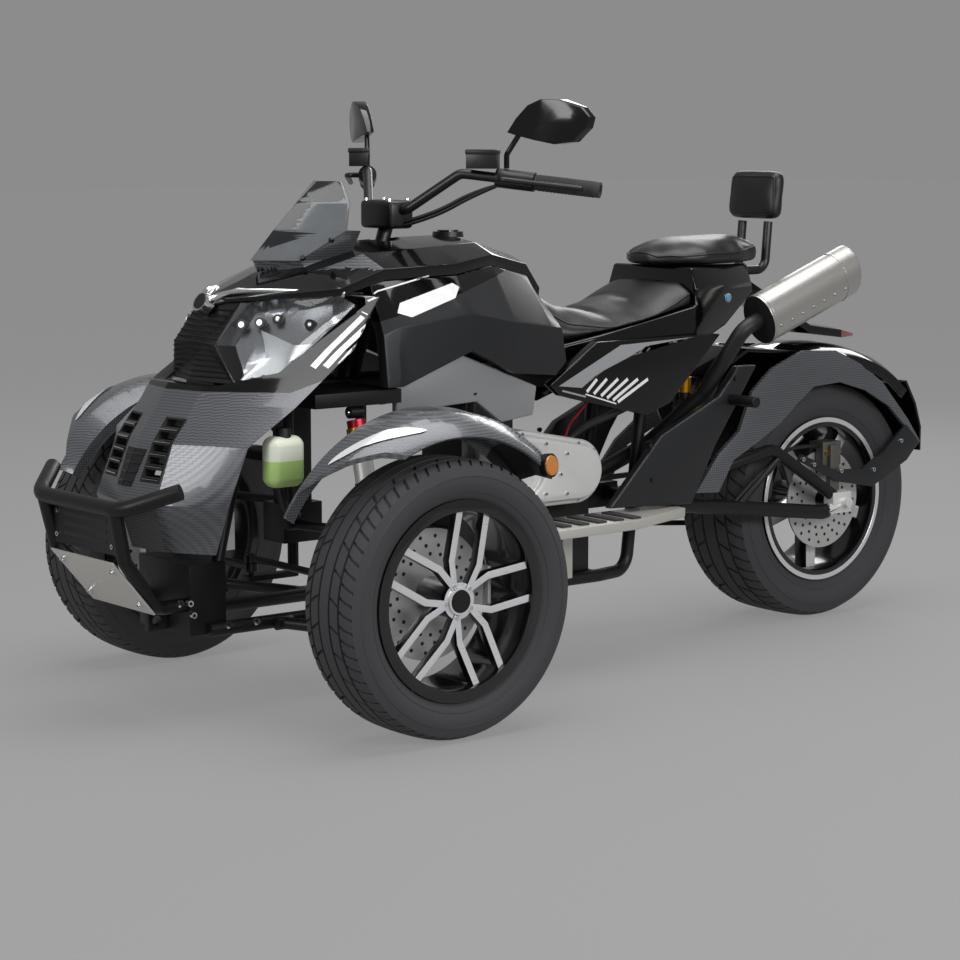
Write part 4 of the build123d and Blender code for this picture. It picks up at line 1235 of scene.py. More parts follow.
@dataclass
class Front:
    """Grille mesh, bright bridge, screen with bolts, and the cowl under it.

    Attributes:
        grille_edge: the grille's outer edge on the left, from low to high, in millimetres.
        bridge: the bright bridge's left half from its end to the middle.
        bridge_panel: outline of the plate over its left half.
        weave_from: height above which the cowl's flanks are woven, in metres.
        painted_reflection_from: half width outside which the screen's sides are paler, a painted reflection,
            in metres.
        screen_bolts: where the screen's bolts are looked for, on the left.
        bolt_search: how far outside the screen that search starts, in metres.
    """

    grille_edge: Route = ((226, 119, 702), (247, 80, 784), (180, 80, 870))
    grille_ridge: Route = ((262.5, 0, 706), (206.5, 0, 868))
    bars: int = 13
    bar_low: float = 716
    bar_pitch: float = 11.5
    bridge: Route = ((13, 220, 886), (37, 200, 888), (110, 120, 892), (180, 50, 892),
                     (214, 20, 878))
    bridge_middle: Point = (226, 0, 868)
    bridge_panel: Route = ((226, 0, 858), (203, 44, 872), (150, 84, 884), (120, 84, 896),
                           (160, 40, 898), (196, 0, 886))
    boss: Point = (222, 0, 866)
    weave_from: float = 0.935
    painted_reflection_from: float = 0.03
    screen_bolts: Route = ((22, 86, 962), (-34, 112, 1000))
    bolt_search: Point = (0.02, 0.015, 0.01)

    def grille(self) -> None:
        """Build the grille with bars that follow its ridge."""
        piece = finished("front_grille", INNER_BLACK_AND_SHADE, 2.0)
        for step in range(self.bars):
            z = self.bar_low + self.bar_pitch * step
            x, y, _ = at_height(self.grille_edge, z)
            for side in SIDES:
                piece.rod(at(*at_height(self.grille_ridge, z)), at(x + 0.5, side * (y - 2), z), 0.0016,
                          POWDER_BLACK, sides=6)
        piece.publish()

    def trim(self) -> None:
        """Build the bright bridge with its plates and boss."""
        piece = Piece("bright_bridge", BODIES["upper_cowl"])
        left, right = [[on_side(point, side) for point in self.bridge] for side in SIDES]
        piece.tube(left + [at(*self.bridge_middle)] + right[::-1], 0.0065, CHROME)
        for side in SIDES:
            plate = [on_side(point, side) for point in self.bridge_panel]
            piece.slab(plate, Vector((-0.004, 0, -0.003)), CHROME, 0.8)
        out = Vector((0.85, 0.0, 0.5)).normalized()
        boss = at(*self.boss)
        piece.rod(boss - out * 0.012, boss + out * 0.010, 0.024, CHROME, 0.023, 40)
        piece.rod(boss, boss + out * 0.0115, 0.019, INNER_BLACK_AND_SHADE, 0.018, 40)
        piece.publish()

    def cowl(self) -> None:
        """Build the cowl with woven flanks."""
        piece = finished("upper_cowl", GLOSS_BLACK, 4.0)
        piece.paint_where(CARBON, lambda c, n: c.z > self.weave_from and abs(n.y) > 0.2)
        piece.publish()

    def screen(self) -> None:
        """Build the screen with a painted reflection that makes its sides paler, and four bolts."""
        piece = finished("windscreen", SMOKE, 1.2)
        pane = surface_of("windscreen")
        # Faces turned to the side get the paler acrylic: a painted reflection
        piece.paint_where(SMOKE_PAINTED_REFLECTION, lambda c, n: abs(n.y) > 0.42 and abs(c.y) > self.painted_reflection_from)
        ahead, aside, above = self.bolt_search
        for point in self.screen_bolts:
            for side in SIDES:
                search = on_side(point, side) + Vector((ahead, aside * side, above))
                seat, out, _, _ = pane.find_nearest(search)
                piece.bolt(seat, out, 0.006, INNER_BLACK_AND_SHADE)
        piece.publish()

    def build(self) -> None:
        """Build everything between nose and handlebar."""
        self.grille()
        self.trim()
        self.cowl()
        self.screen()


@dataclass
class Bodywork:
    """Tank cover, fairings, seat side panels and their stripes, x and z in millimetres.

    A value that ends in half is half of a stripe's width.

    Attributes:
        filler: x of the filler cap.
        black_line: two places on the line between charcoal and black.
        plate: outline of the blank pale plate.
        flank: stripes behind the headlamp, top and bottom of each.
        pinstripes: thin lines over the fairing.
        wedge: outline of the silver wedge on the seat side panel.
        bars: slanted bars on that panel, top and bottom of each.
        panel_line: thin white line under the bars.
        panel_edge: thin silver line ahead of it.
    """

    filler: float = -430
    black_line: Stripe = ((-105, 838), (-470, 918))
    plate: Outline = ((-105, 844), (-120, 864), (-275, 900), (-289, 891), (-267, 869), (-138, 834))
    flank: tuple[Stripe, ...] = (((-12, 841), (111, 741)), ((-14, 824), (91, 742)), ((-14, 809), (68, 744)),
                                 ((-10, 793), (51, 748)), ((-1, 768), (29, 758)))
    flank_half: float = 4.0
    pinstripes: tuple[Stripe, ...] = (((-32, 872), (-74, 890)), ((-74, 890), (-222, 917)),
                                      ((-7, 856), (-35, 834)))
    wedge: Outline = ((-580, 657), (-765, 740), (-993, 747), (-845, 734), (-790, 711), (-717, 686),
                      (-684, 672), (-648, 649))
    bars: tuple[Stripe, ...] = (((-693, 666), (-663, 639)), ((-723, 665), (-684, 633)),
                                ((-757, 663), (-706, 627)), ((-787, 661), (-724, 621)),
                                ((-818, 659), (-742, 615)), ((-849, 657), (-757, 610)))
    bar_half: float = 3.8
    panel_line: Stripe = ((-659, 634), (-752, 606))
    panel_edge: Stripe = ((-590, 646), (-660, 628))
    thin_half: float = 1.5
    edge_half: float = 2.0

    def stripe(self, ends: Stripe, half: float) -> Outline:
        """Outline a straight stripe.

        Args:
            ends: its two ends, x and z.
            half: half of its width.

        Returns:
            Its corners.
        """
        (x0, z0), (x1, z1) = ends
        length = math.hypot(x1 - x0, z1 - z0)
        ux, uz = half * (z1 - z0) / length, -half * (x1 - x0) / length
        return (x0 - ux, z0 - uz), (x0 + ux, z0 + uz), (x1 + ux, z1 + uz), (x1 - ux, z1 - uz)

    def tank(self) -> None:
        """Build the tank cover with its filler cap."""
        piece = finished("tank_cover", GLOSS_BLACK, 16.0, 8.0, 40.0)
        top = surface_of("tank_cover").ray_cast(at(self.filler, 0, 1500), -UP)[0]
        piece.rod(top - Vector((0, 0, 0.004)), top + Vector((0, 0, 0.008)), 0.036, BAR_BLACK, 0.034, 40)
        piece.rod(top, top + Vector((0, 0, 0.012)), 0.026, GLOSS_BLACK, 0.024, 40)
        piece.publish(50.0)

    def fairings(self) -> None:
        """Build the side fairings with their black tops, plates and stripes."""
        piece = finished("side_fairings", CHARCOAL, 12.0, 10.0, 40.0)
        (x0, z0), (x1, z1) = self.black_line
        start = at(x0, 0, z0)
        run = at(x1, 0, z1) - start
        up = Vector((run.z, 0.0, -run.x))
        piece.split(start, up)
        piece.paint_where(GLOSS_BLACK, lambda c, n: (c - start).dot(up) > 0)
        skin = surface_of("side_fairings", "tank_cover", "nose_cowl", "upper_cowl")
        for side in SIDES:
            piece.film(self.plate, skin, STRIPE, side)
            for ends in self.flank:
                piece.film(self.stripe(ends, self.flank_half), skin, STRIPE, side)
            for ends in self.pinstripes:
                piece.film(self.stripe(ends, self.thin_half), skin, STRIPE, side)
        piece.publish(45.0)

    def seat_panels(self) -> None:
        """Build the seat side panels with wedge, bars and lines."""
        piece = finished("seat_side_panels", GLOSS_BLACK, 3.0)
        skin = surface_of("seat_side_panels")
        for side in SIDES:
            piece.film(self.wedge, skin, SILVER_FILM, side)
            for ends in self.bars:
                piece.film(self.stripe(ends, self.bar_half), skin, STRIPE, side)
            piece.film(self.stripe(self.panel_line, self.thin_half), skin, STRIPE, side)
            piece.film(self.stripe(self.panel_edge, self.edge_half), skin, SILVER_FILM, side)
        piece.publish()

    def build(self) -> None:
        """Build the panels from the tank to the seat."""
        self.tank()
        self.fairings()
        self.seat_panels()
        finished("side_skirts", PALE_GREY, 4.0).publish()


@dataclass
class Cushion:
    """A padded seat: foam swollen under stretched vinyl, with piping sewn round it.

    Attributes:
        node: the solid it stands for.
        seams: lines of piping, in millimetres from the front axle, laid on the nearest vinyl.
        voxel: size of the cloth's mesh, in metres, as the next three.
        start: how far the cloth starts inside the solid.
        reach: the most that the foam may swell it.
        eased: rounds of smoothing before and after the cloth swells.
        held_height: height above the base within which the cloth is held.
        fill: share of foam in the cushion; not used.
    """

    node: str
    seams: tuple[Route, ...]
    voxel: float = 0.006
    start: float = 0.003
    reach: float = 0.010
    piping: float = 0.0026
    eased: tuple[int, int] = (14, 16)
    pressure: float = 4.0
    frames: int = 20
    held_height: float = 0.01
    fill: float = 0.7
    seam_steps: int = 6

    def ease(self, bm: bmesh.types.BMesh, rounds: int) -> None:
        """Smooth the cloth.

        Args:
            bm: the cloth, changed in place.
            rounds: how often.
        """
        for _ in range(rounds):
            bmesh.ops.smooth_vert(bm, verts=bm.verts, factor=0.5, use_axis_x=True, use_axis_y=True,
                                  use_axis_z=True)
        bm.normal_update()

    def cloth(self) -> bmesh.types.BMesh:
        """Remesh the solid evenly and ease its edges.

        Returns:
            The cloth before it swells.
        """
        rough = copied(self.node)
        mesh = bpy.data.meshes.new("foam")
        rough.to_mesh(mesh)
        rough.free()
        holder = placed("foam", mesh)
        even = holder.modifiers.new("even", "REMESH")
        even.mode, even.voxel_size = "VOXEL", self.voxel
        graph = bpy.context.evaluated_depsgraph_get()
        made = bpy.data.meshes.new_from_object(holder.evaluated_get(graph))
        bm = bmesh.new()
        bm.from_mesh(made)
        self.ease(bm, self.eased[0])
        for vert in bm.verts:
            vert.co -= vert.normal * self.start
        bpy.data.objects.remove(holder)
        bpy.data.meshes.remove(mesh)
        bpy.data.meshes.remove(made)
        return bm

    def swell(self, bm: bmesh.types.BMesh) -> None:
        """Blow the cloth up from inside, its base held, and cap how far it moves.

        Args:
            bm: the cloth, changed in place.
        """
        mesh = bpy.data.meshes.new("cloth")
        bm.to_mesh(mesh)
        holder = placed("cloth", mesh)
        held = holder.vertex_groups.new(name="held")
        low = min(v.co.z for v in mesh.vertices) + self.held_height
        held.add([v.index for v in mesh.vertices if v.normal.z < -0.7 or v.co.z < low], 1.0, "REPLACE")
        skin = holder.modifiers.new("skin", "CLOTH")
        skin.settings.use_pressure = True
        skin.settings.uniform_pressure_force = self.pressure
        skin.settings.vertex_group_mass = "held"
        skin.settings.effector_weights.gravity = 0.0
        scene = bpy.context.scene
        for frame in range(1, self.frames + 1):
            scene.frame_set(frame)
        graph = bpy.context.evaluated_depsgraph_get()
        blown = holder.evaluated_get(graph).to_mesh()
        bm.verts.ensure_lookup_table()
        for vert, moved in zip(bm.verts, blown.vertices):
            step = moved.co - vert.co
            if step.length > self.reach:
                step *= self.reach / step.length
            vert.co += step
        scene.frame_set(1)
        bpy.data.objects.remove(holder)
        bpy.data.meshes.remove(mesh)

    def sew(self, piece: Piece, seam: Sequence[Point], vinyl: BVHTree) -> None:
        """Lay one line of piping on the vinyl.

        Args:
            piece: the cushion.
            seam: its corners; it joins up if the last is the first.
            vinyl: the cushion's surface.
        """
        corners = [at(*point) for point in seam]
        line = []
        for first, second in zip(corners, corners[1:]):
            for step in range(self.seam_steps):
                line.append(vinyl.find_nearest(first.lerp(second, step / self.seam_steps))[0])
        closed = seam[0] == seam[-1]
        if not closed:
            line.append(vinyl.find_nearest(corners[-1])[0])
        piece.tube(line, self.piping, VINYL, closed)

    def build(self) -> None:
        """Make the cushion and sew its piping."""
        bm = self.cloth()
        self.swell(bm)
        self.ease(bm, self.eased[1])
        vinyl = BVHTree.FromBMesh(bm)
        piece = Piece(self.node + "_cushion", BODIES[self.node])
        piece.bm.free()
        piece.bm = bm
        piece.paint(bm.faces, VINYL)
        bmesh.ops.subdivide_edges(bm, edges=bm.edges, cuts=1, use_grid_fill=True, smooth=0.0)
        piece.hidden.append(self.node)
        for seam in self.seams:
            self.sew(piece, seam, vinyl)
        piece.publish(80.0)


# Piping along the rider's left thigh
THIGH_SEAM: Route = ((-640, 108, 838), (-690, 132, 800), (-800, 154, 784), (-930, 162, 806),
                     (-1040, 156, 850))
# Left half of the piping round the passenger's saddle, and round the backrest, from front or foot
SADDLE_SEAM: Route = ((-1010, 60, 938), (-1048, 104, 934), (-1110, 138, 938), (-1240, 128, 944),
                      (-1340, 70, 948))
BACKREST_SEAM: Route = ((-1380, 80, 1018), (-1374, 82, 1120))


def twin(seam: Sequence[Point]) -> Route:
    """Mirror a seam of the left side to the right."""
    return tuple((x, -y, z) for x, y, z in seam)


def seats() -> None:
    """Build the two saddles and the backrest."""
    Cushion("seat_rider", (THIGH_SEAM, twin(THIGH_SEAM))).build()
    for node, half in (("seat_passenger", SADDLE_SEAM), ("backrest_pad", BACKREST_SEAM)):
        Cushion(node, ((*half, *reversed(twin(half)), half[0]),)).build()


@dataclass
class Tail:
    """Tail fairing with its lock, and the black leaf arm with a red lens.

    Attributes:
        lock: x and z of the lock, in millimetres.
        lens_front: x that the red lens lies behind, in metres of the shared frame.
    """

    lock: Flat = (-1184, 826)
    lens_front: float = -0.985

    def build(self) -> None:
        """Build the tail and its lamp."""
        tail = finished("tail_fairing", GLOSS_BLACK, 12.0, 14.0, 30.0)
        seat = from_left(surface_of("tail_fairing"), *self.lock)
        tail.rod(seat - Vector((0, 0.004, 0)), seat + Vector((0, 0.004, 0)), 0.011, CHROME)
        tail.rod(seat, seat + Vector((0, 0.005, 0)), 0.008, BLUE)
        tail.publish(40.0)
        arm = finished("tail_lamp", GLOSS_BLACK, 5.0, 14.0)
        arm.paint_where(TAIL_RED, lambda c, n: c.x < self.lens_front and n.x < -0.2 and n.z > -0.5)
        arm.publish(20.0)


@dataclass
class Drive:
    """Engine, its pale cover with bolts, the silencer, and hoses and leads between them.

    Attributes:
        fin: a fin's back, front, half width and lowest height, in millimetres.
        cover: front and rear rounds of the cover: x, z, radius.
        bolt_inset: how far inside a round's edge its bolts lie.
        dish: x, z and radius of the dish.
        dish_rings: how far inside the dish's edge its raised rings lie.
        ring_points: a ring's profile: how far each point stands out, and how far outside the ring it lies.
        sleeve: the silencer's sleeve from its inlet to its end.
        sleeve_half: half of the sleeve's width and height, in metres.
        rivet_turns: where the rows lie, in degrees round the sleeve.
        beads: shares of the sleeve's length where a bead runs round it.
        mouth: from the inlet to the tail pipe's start, its length and its radius, in metres.
        hoses: each hose's places and radius in metres.
        bottle_hose: the hose from the coolant bottle, down to the nearest frame tube.
        bottle_hose_end: where that tube is looked for.
    """

    fin: tuple[float, float, float, float] = (-385, -372, 96, 222)
    fins: int = 7
    fin_pitch: float = 18
    cover: tuple[Point, Point] = ((-510, 468, 90), (-676, 452, 74))
    bolt_inset: float = 9
    dish: Point = (-505, 468, 62)
    dish_rings: Flat = (4, 22)
    ring_points: Outline = ((-1, 3), (1.5, 1.5), (1.5, -1.5), (-1, -3))
    sleeve: tuple[Point, Point] = ((-1178, 240, 780), (-1434, 240, 874))
    sleeve_half: Flat = (0.0492, 0.0602)
    rivets: int = 7
    rivet_turns: Flat = (200, 340)
    beads: Flat = (0.03, 0.965)
    mouth: Point = (0.29, 0.03, 0.034)
    lead: Route = ((-650, 150, 515), (-636, 174, 560), (-668, 186, 592), (-690, 194, 625))
    hoses: tuple[tuple[Route, float], ...] = (
        (((-420, 96, 470), (-385, 160, 505), (-335, 200, 560), (-325, 222, 662)), 0.012),
        (((-640, 90, 470), (-690, 140, 545), (-780, 165, 575), (-830, 196, 605)), 0.010))
    bottle_hose: Route = ((200, 245, 508), (180, 222, 450), (110, 190, 425))
    bottle_hose_end: Point = (60, 150, 420)

    def block(self) -> None:
        """Build the engine block with its fins."""
        piece = finished("engine_block", ENGINE_DARK, 8.0)
        back, front, half, low = self.fin
        for step in range(self.fins):
            z = low + self.fin_pitch * step
            corners = [at(back, -half, z), at(front, -half, z), at(front, half, z), at(back, half, z)]
            piece.slab(corners, Vector((0, 0, 0.006)), ENGINE_DARK)
        piece.publish()

    def lid(self) -> None:
        """Build the pale cover with bolts round its edge and rings in its dish."""
        piece = finished("engine_cover", CAST_ALLOY, 9.0, 20.0)
        skin = surface_of("engine_cover")
        for (x, z, radius), (other_x, other_z, other_radius) in (self.cover, self.cover[::-1]):
            for turn in range(0, 360, 45):
                px = x + (radius - self.bolt_inset) * math.sin(math.radians(turn))
                pz = z + (radius - self.bolt_inset) * math.cos(math.radians(turn))
                hit = from_left(skin, px, pz)
                if hit and math.hypot(px - other_x, pz - other_z) >= other_radius:
                    piece.bolt(hit, LEFT, 0.005)
        x, z, radius = self.dish
        for inset in self.dish_rings:
            ring = radius - inset
            place = Vector((at(x, 0, z).x, from_left(skin, x, z + ring).y, z * MM))
            piece.lathe([(rise * MM, (ring + out) * MM) for rise, out in self.ring_points], place, CAST_ALLOY)
        piece.publish(26.0)

    def silencer(self) -> None:
        """Build the silencer with rivets, beads, a dark inlet end and its tail pipe."""
        start, end = [at(*point) for point in self.sleeve]
        run = (end - start).normalized()
        piece = finished("muffler", BRUSHED_STEEL, 5.0, 30.0)
        piece.paint_where(HEAT_BLACK, lambda c, n: n.dot(run) < -0.7)
        down = run.cross(LEFT)
        wide, tall = self.sleeve_half
        for step in range(self.rivets):
            place = start.lerp(end, 0.08 + 0.14 * step)
            for turn in self.rivet_turns:
                angle = math.radians(turn)
                out = LEFT * (wide * math.cos(angle)) + down * -(tall * math.sin(angle))
                piece.bolt(place + out, out, 0.0035, BRUSHED_STEEL)
        for part in self.beads:
            place = start.lerp(end, part)
            ring = []
            for step in range(32):
                angle = step * math.tau / 32
                across, drop = LEFT * (wide + MM) * math.cos(angle), down * (tall + MM) * math.sin(angle)
                ring.append(place + across + drop)
            piece.tube(ring, 0.0016, BRUSHED_STEEL, True)
        reach_in, length, radius = self.mouth
        mouth = start + run * reach_in
        piece.rod(mouth, mouth + run * length, radius, INNER_BLACK_AND_SHADE, radius, 32)
        piece.publish(30.0)

    def lay_hoses(self) -> None:
        """Lay the hoses and the lead that show between engine and panels."""
        piece = Piece("hoses_and_leads", "chassis")
        piece.tube([at(*point) for point in self.lead], 0.0028, RED)
        for run, radius in self.hoses:
            piece.tube([at(*point) for point in run], radius, INNER_BLACK_AND_SHADE)
        foot = surface_of("frame").find_nearest(at(*self.bottle_hose_end))[0]
        piece.tube([at(*point) for point in self.bottle_hose] + [foot], 0.009, INNER_BLACK_AND_SHADE)
        piece.publish()

    def build(self) -> None:
        """Build everything that drives the trike."""
        self.block()
        self.lid()
        self.silencer()
        self.lay_hoses()


@dataclass
class Dampers:
    """Coil-over units with a gold collar and red cap, and the rear shock with its gold reservoir.

    Attributes:
        foot: lower end of the left front unit, in millimetres.
        top: upper end.
        coil: radius of its spring.
        wire: radius of the spring's wire, in metres.
        spring_span: share of the unit's length where the spring starts, and its own share.
        sleeves: each sleeve's first and last share of the length, share of the spring's radius and finish.
        reservoir: middle of the rear shock's reservoir, at its cap's foot.
    """

    foot: Point = (0, 345, 226)
    top: Point = (0, 235, 640)
    coil: float = 24.0
    wire: float = 0.004
    turns: int = 9
    turn_steps: int = 12
    spring_span: Flat = (0.12, 0.5)
    sleeves: tuple[tuple[float, float, float, Finish], ...] = (
        (0.09, 0.12, 1.0, GOLD), (0.62, 0.65, 1.0, GOLD), (0.65, 0.86, 0.9, CAST_ALLOY),
        (0.86, 0.92, 1.0, GOLD), (0.92, 0.96, 0.85, RED))
    reservoir: Point = (-1071, 98, 604)
    reservoir_hose: Route = ((-1071, 98, 592), (-1075, 60, 560), (-1100, 16, 570))

    def unit(self, piece: Piece, low: Vector, high: Vector) -> None:
        """Build one spring and damper.

        Args:
            piece: the piece it belongs to.
            low: its lower end.
            high: its upper end.
        """
        radius = self.coil * MM
        run = high - low
        turn = run.to_track_quat("Z", "Y").to_matrix()
        first, share = self.spring_span
        steps, inner = self.turns * self.turn_steps, radius - self.wire
        line = []
        for step in range(steps + 1):
            angle = step * math.tau / self.turn_steps
            arm = Vector((math.cos(angle) * inner, math.sin(angle) * inner, 0.0))
            line.append(low + run * (first + share * step / steps) + turn @ arm)
        piece.tube(line, self.wire, SHOCK)
        piece.rod(low, low.lerp(high, 0.64), 0.010, CHROME)
        for start, end, part, finish in self.sleeves:
            piece.rod(low.lerp(high, start), low.lerp(high, end), radius * part, finish, sides=32)
        half = Vector((0.016, 0, 0))
        for end in (low, high):
            piece.rod(end - half, end + half, 0.013, POWDER_BLACK)
            piece.bolt(end + half, AHEAD, 0.007)

    def build(self) -> None:
        """Build the front pair and the rear unit."""
        front = Piece("front_shocks_finished", BODIES["front_shocks"])
        for side in SIDES:
            self.unit(front, on_side(self.foot, side), on_side(self.top, side))
        front.hidden.append("front_shocks")
        front.publish()
        rear = finished("rear_shock", SHOCK, 2.0)
        x, y, z = self.reservoir
        rear.rod(at(x, y, z), at(x, y, z + 36), 0.016, GOLD, sides=28)
        rear.rod(at(x, y, z - 14), at(x, y, z), 0.014, POWDER_BLACK, sides=28)
        rear.tube([at(*point) for point in self.reservoir_hose], 0.005, INNER_BLACK_AND_SHADE)
        stay = at(x, y, z + 8)
        rail = surface_of("frame", "seat_side_panels").find_nearest(stay)[0]
        rear.rod(stay, rail, 0.005, POWDER_BLACK, sides=12)
        rear.publish()


@dataclass
class FrontEnd:
    """Bull bar, skid plate, coolant bottle and the bolts of the front frame, in millimetres.

    Attributes:
        slots: heights of the slots in the bull bar's panel, shown as dark sheets of painted shade.
        slot: the slots' place forward, half width and height.
        bar_bolts: y and z of the panel's bolts on the left.
        bar_face: the panel's place forward.
        plate_edges: x and z of the skid plate's upper and lower edge.
        plate_bolts: places of the plate's bolts across, and shares of the way down.
        frame_bolts: where the frame's bolts are looked for, on the left.
    """

    slots: tuple[float, ...] = (392, 412, 432)
    slot: Point = (517.4, 86, 9)
    bar_bolts: Outline = ((112, 390), (112, 440))
    bar_face: float = 517
    plate_edges: Stripe = ((528, 357), (430, 240))
    plate_bolts: Outline = ((100, 0.16), (100, 0.8), (-100, 0.16), (-100, 0.8))
    plate_out: Point = (0.767, 0.0, -0.642)
    coolant: float = 556
    bottle_cap: Point = (193, 250, 602)
    frame_bolts: Route = ((330, 120, 250), (322, 140, 224), (250, 150, 214), (180, 150, 210),
                          (350, 120, 262))

    def bull_bar(self) -> None:
        """Build the bull bar with its slots as dark sheets of painted shade, and bolts in its panel."""
        piece = finished("bull_bar", POWDER_BLACK, 2.0)
        x, half, height = self.slot
        # Each slot is a thin dark sheet on the panel: painted shade
        for z in self.slots:
            corners = [at(x, -half, z), at(x, -half, z + height), at(x, half, z + height), at(x, half, z)]
            piece.slab(corners, Vector((-0.002, 0, 0)), INNER_BLACK_AND_SHADE)
        for side in reversed(SIDES):
            for y, z in self.bar_bolts:
                piece.bolt(at(self.bar_face, side * y, z), AHEAD, 0.006)
        piece.publish()

    def skid_plate(self) -> None:
        """Build the skid plate with its four bolts."""
        piece = finished("skid_plate", SHEET_ALLOY, 0.8)
        out = Vector(self.plate_out)
        (x0, z0), (x1, z1) = self.plate_edges
        for y, part in self.plate_bolts:
            piece.bolt(at(x0, y, z0).lerp(at(x1, y, z1), part) + out * 0.002, out, 0.007)
        piece.publish()

    def bottle(self) -> None:
        """Build the coolant bottle, milky over green, with its cap."""
        piece = finished("coolant_bottle", BOTTLE_MILK, 16.0)
        piece.split(at(0, 0, self.coolant), UP)
        piece.paint_where(BOTTLE_GREEN, lambda c, n: c.z < self.coolant * MM)
        x, y, z = self.bottle_cap
        piece.rod(at(x, y, z), at(x, y, z + 20), 0.018, INNER_BLACK_AND_SHADE, 0.016, 28)
        piece.publish(40.0)

    def build(self) -> None:
        """Build the pieces ahead of the front axle."""
        self.bull_bar()
        self.skid_plate()
        self.bottle()
        fixings = Piece("frame_bolts", "chassis")
        rails = surface_of("frame", "bull_bar")
        for point in self.frame_bolts:
            for side in SIDES:
                seat, out, _, _ = rails.find_nearest(on_side(point, side))
                fixings.bolt(seat, out, 0.008)
        fixings.publish()


@dataclass
class Cockpit:
    """Handlebar, ribbed grips, fluid boxes and mirrors with their glass.

    Attributes:
        clamp_bolts: the riser's bolts on the left, in millimetres.
        cable: a bar cable's places on the left.
        cable_gap: how far the second cable lies below it.
        bar_way: the way the left grip runs, to its end.
        rib_start: from the bar's end to the first rib, in metres.
        lid: middle of the left fluid box's lid, at its foot.
        lid_half: half of the lid's length and of its width, along x and y, in metres.
        glass_from: height above which faces that look back are mirror glass, in metres.
    """

    clamp_bolts: Route = ((-284, 44, 1074), (-234, 44, 1074))
    cable: Route = ((-384, 236, 1108), (-352, 190, 1094), (-300, 120, 1046), (-262, 52, 1026))
    cable_gap: float = 8
    bar_end: Point = (-512, 420, 1100)
    bar_way: Point = (-0.584, 0.804, -0.110)
    ribs: int = 15
    rib_start: float = 0.012
    rib_pitch: float = 0.0085
    rib_width: float = 0.0045
    lid: Point = (-348.4, 229.2, 1175)
    lid_half: tuple[Flat, Flat] = ((-0.0200, 0.0275), (0.0194, 0.0141))
    lid_height: float = 0.011
    glass_from: float = 1.19

    def bar(self) -> None:
        """Build the handlebar with its clamp bolts and cables."""
        piece = finished("handlebar", BAR_BLACK, 10.0, 60.0, 40.0)
        for point in self.clamp_bolts:
            for side in SIDES:
                piece.bolt(on_side(point, side), UP, 0.006)
        start, *rest = self.cable
        for side in SIDES:
            for low in (0, self.cable_gap):
                run = [start] + [(x, y, z - low) for x, y, z in rest]
                piece.tube([on_side(point, side) for point in run], 0.0042, INNER_BLACK_AND_SHADE)
        piece.publish()

    def grips(self) -> None:
        """Build the grips with their ribs and end caps."""
        piece = finished("grips", GRIP, 1.0)
        for side in SIDES:
            x, y, z = self.bar_way
            way = Vector((x, side * y, z)).normalized()
            end = on_side(self.bar_end, side)
            for step in range(self.ribs):
                spot = end - way * (self.rib_start + self.rib_pitch * step)
                piece.rod(spot, spot + way * self.rib_width, 0.0178, GRIP)
            piece.rod(end - way * 0.006, end + way * 0.002, 0.0165, BAR_BLACK, 0.014)
        piece.publish()

    def controls(self) -> None:
        """Build the levers and switches, and the fluid boxes with their lids."""
        piece = finished("controls", BAR_BLACK, 7.0, 50.0, 30.0)
        for side in SIDES:
            lid = on_side(self.lid, side)
            way, ahead = [Vector((x, side * y, 0.0)) for x, y in self.lid_half]
            corners = [lid + way + ahead, lid + way - ahead, lid - way - ahead, lid - way + ahead]
            piece.slab(corners, Vector((0, 0, self.lid_height)), INNER_BLACK_AND_SHADE, 3.0)
        piece.publish()

    def build(self) -> None:
        """Build what the rider holds and looks at."""
        self.bar()
        self.grips()
        self.controls()
        mirrors = finished("mirrors", GLOSS_BLACK, 5.0, 30.0)
        mirrors.paint_where(MIRROR, lambda c, n: n.x < -0.815 and c.z > self.glass_from)
        mirrors.publish(50.0)


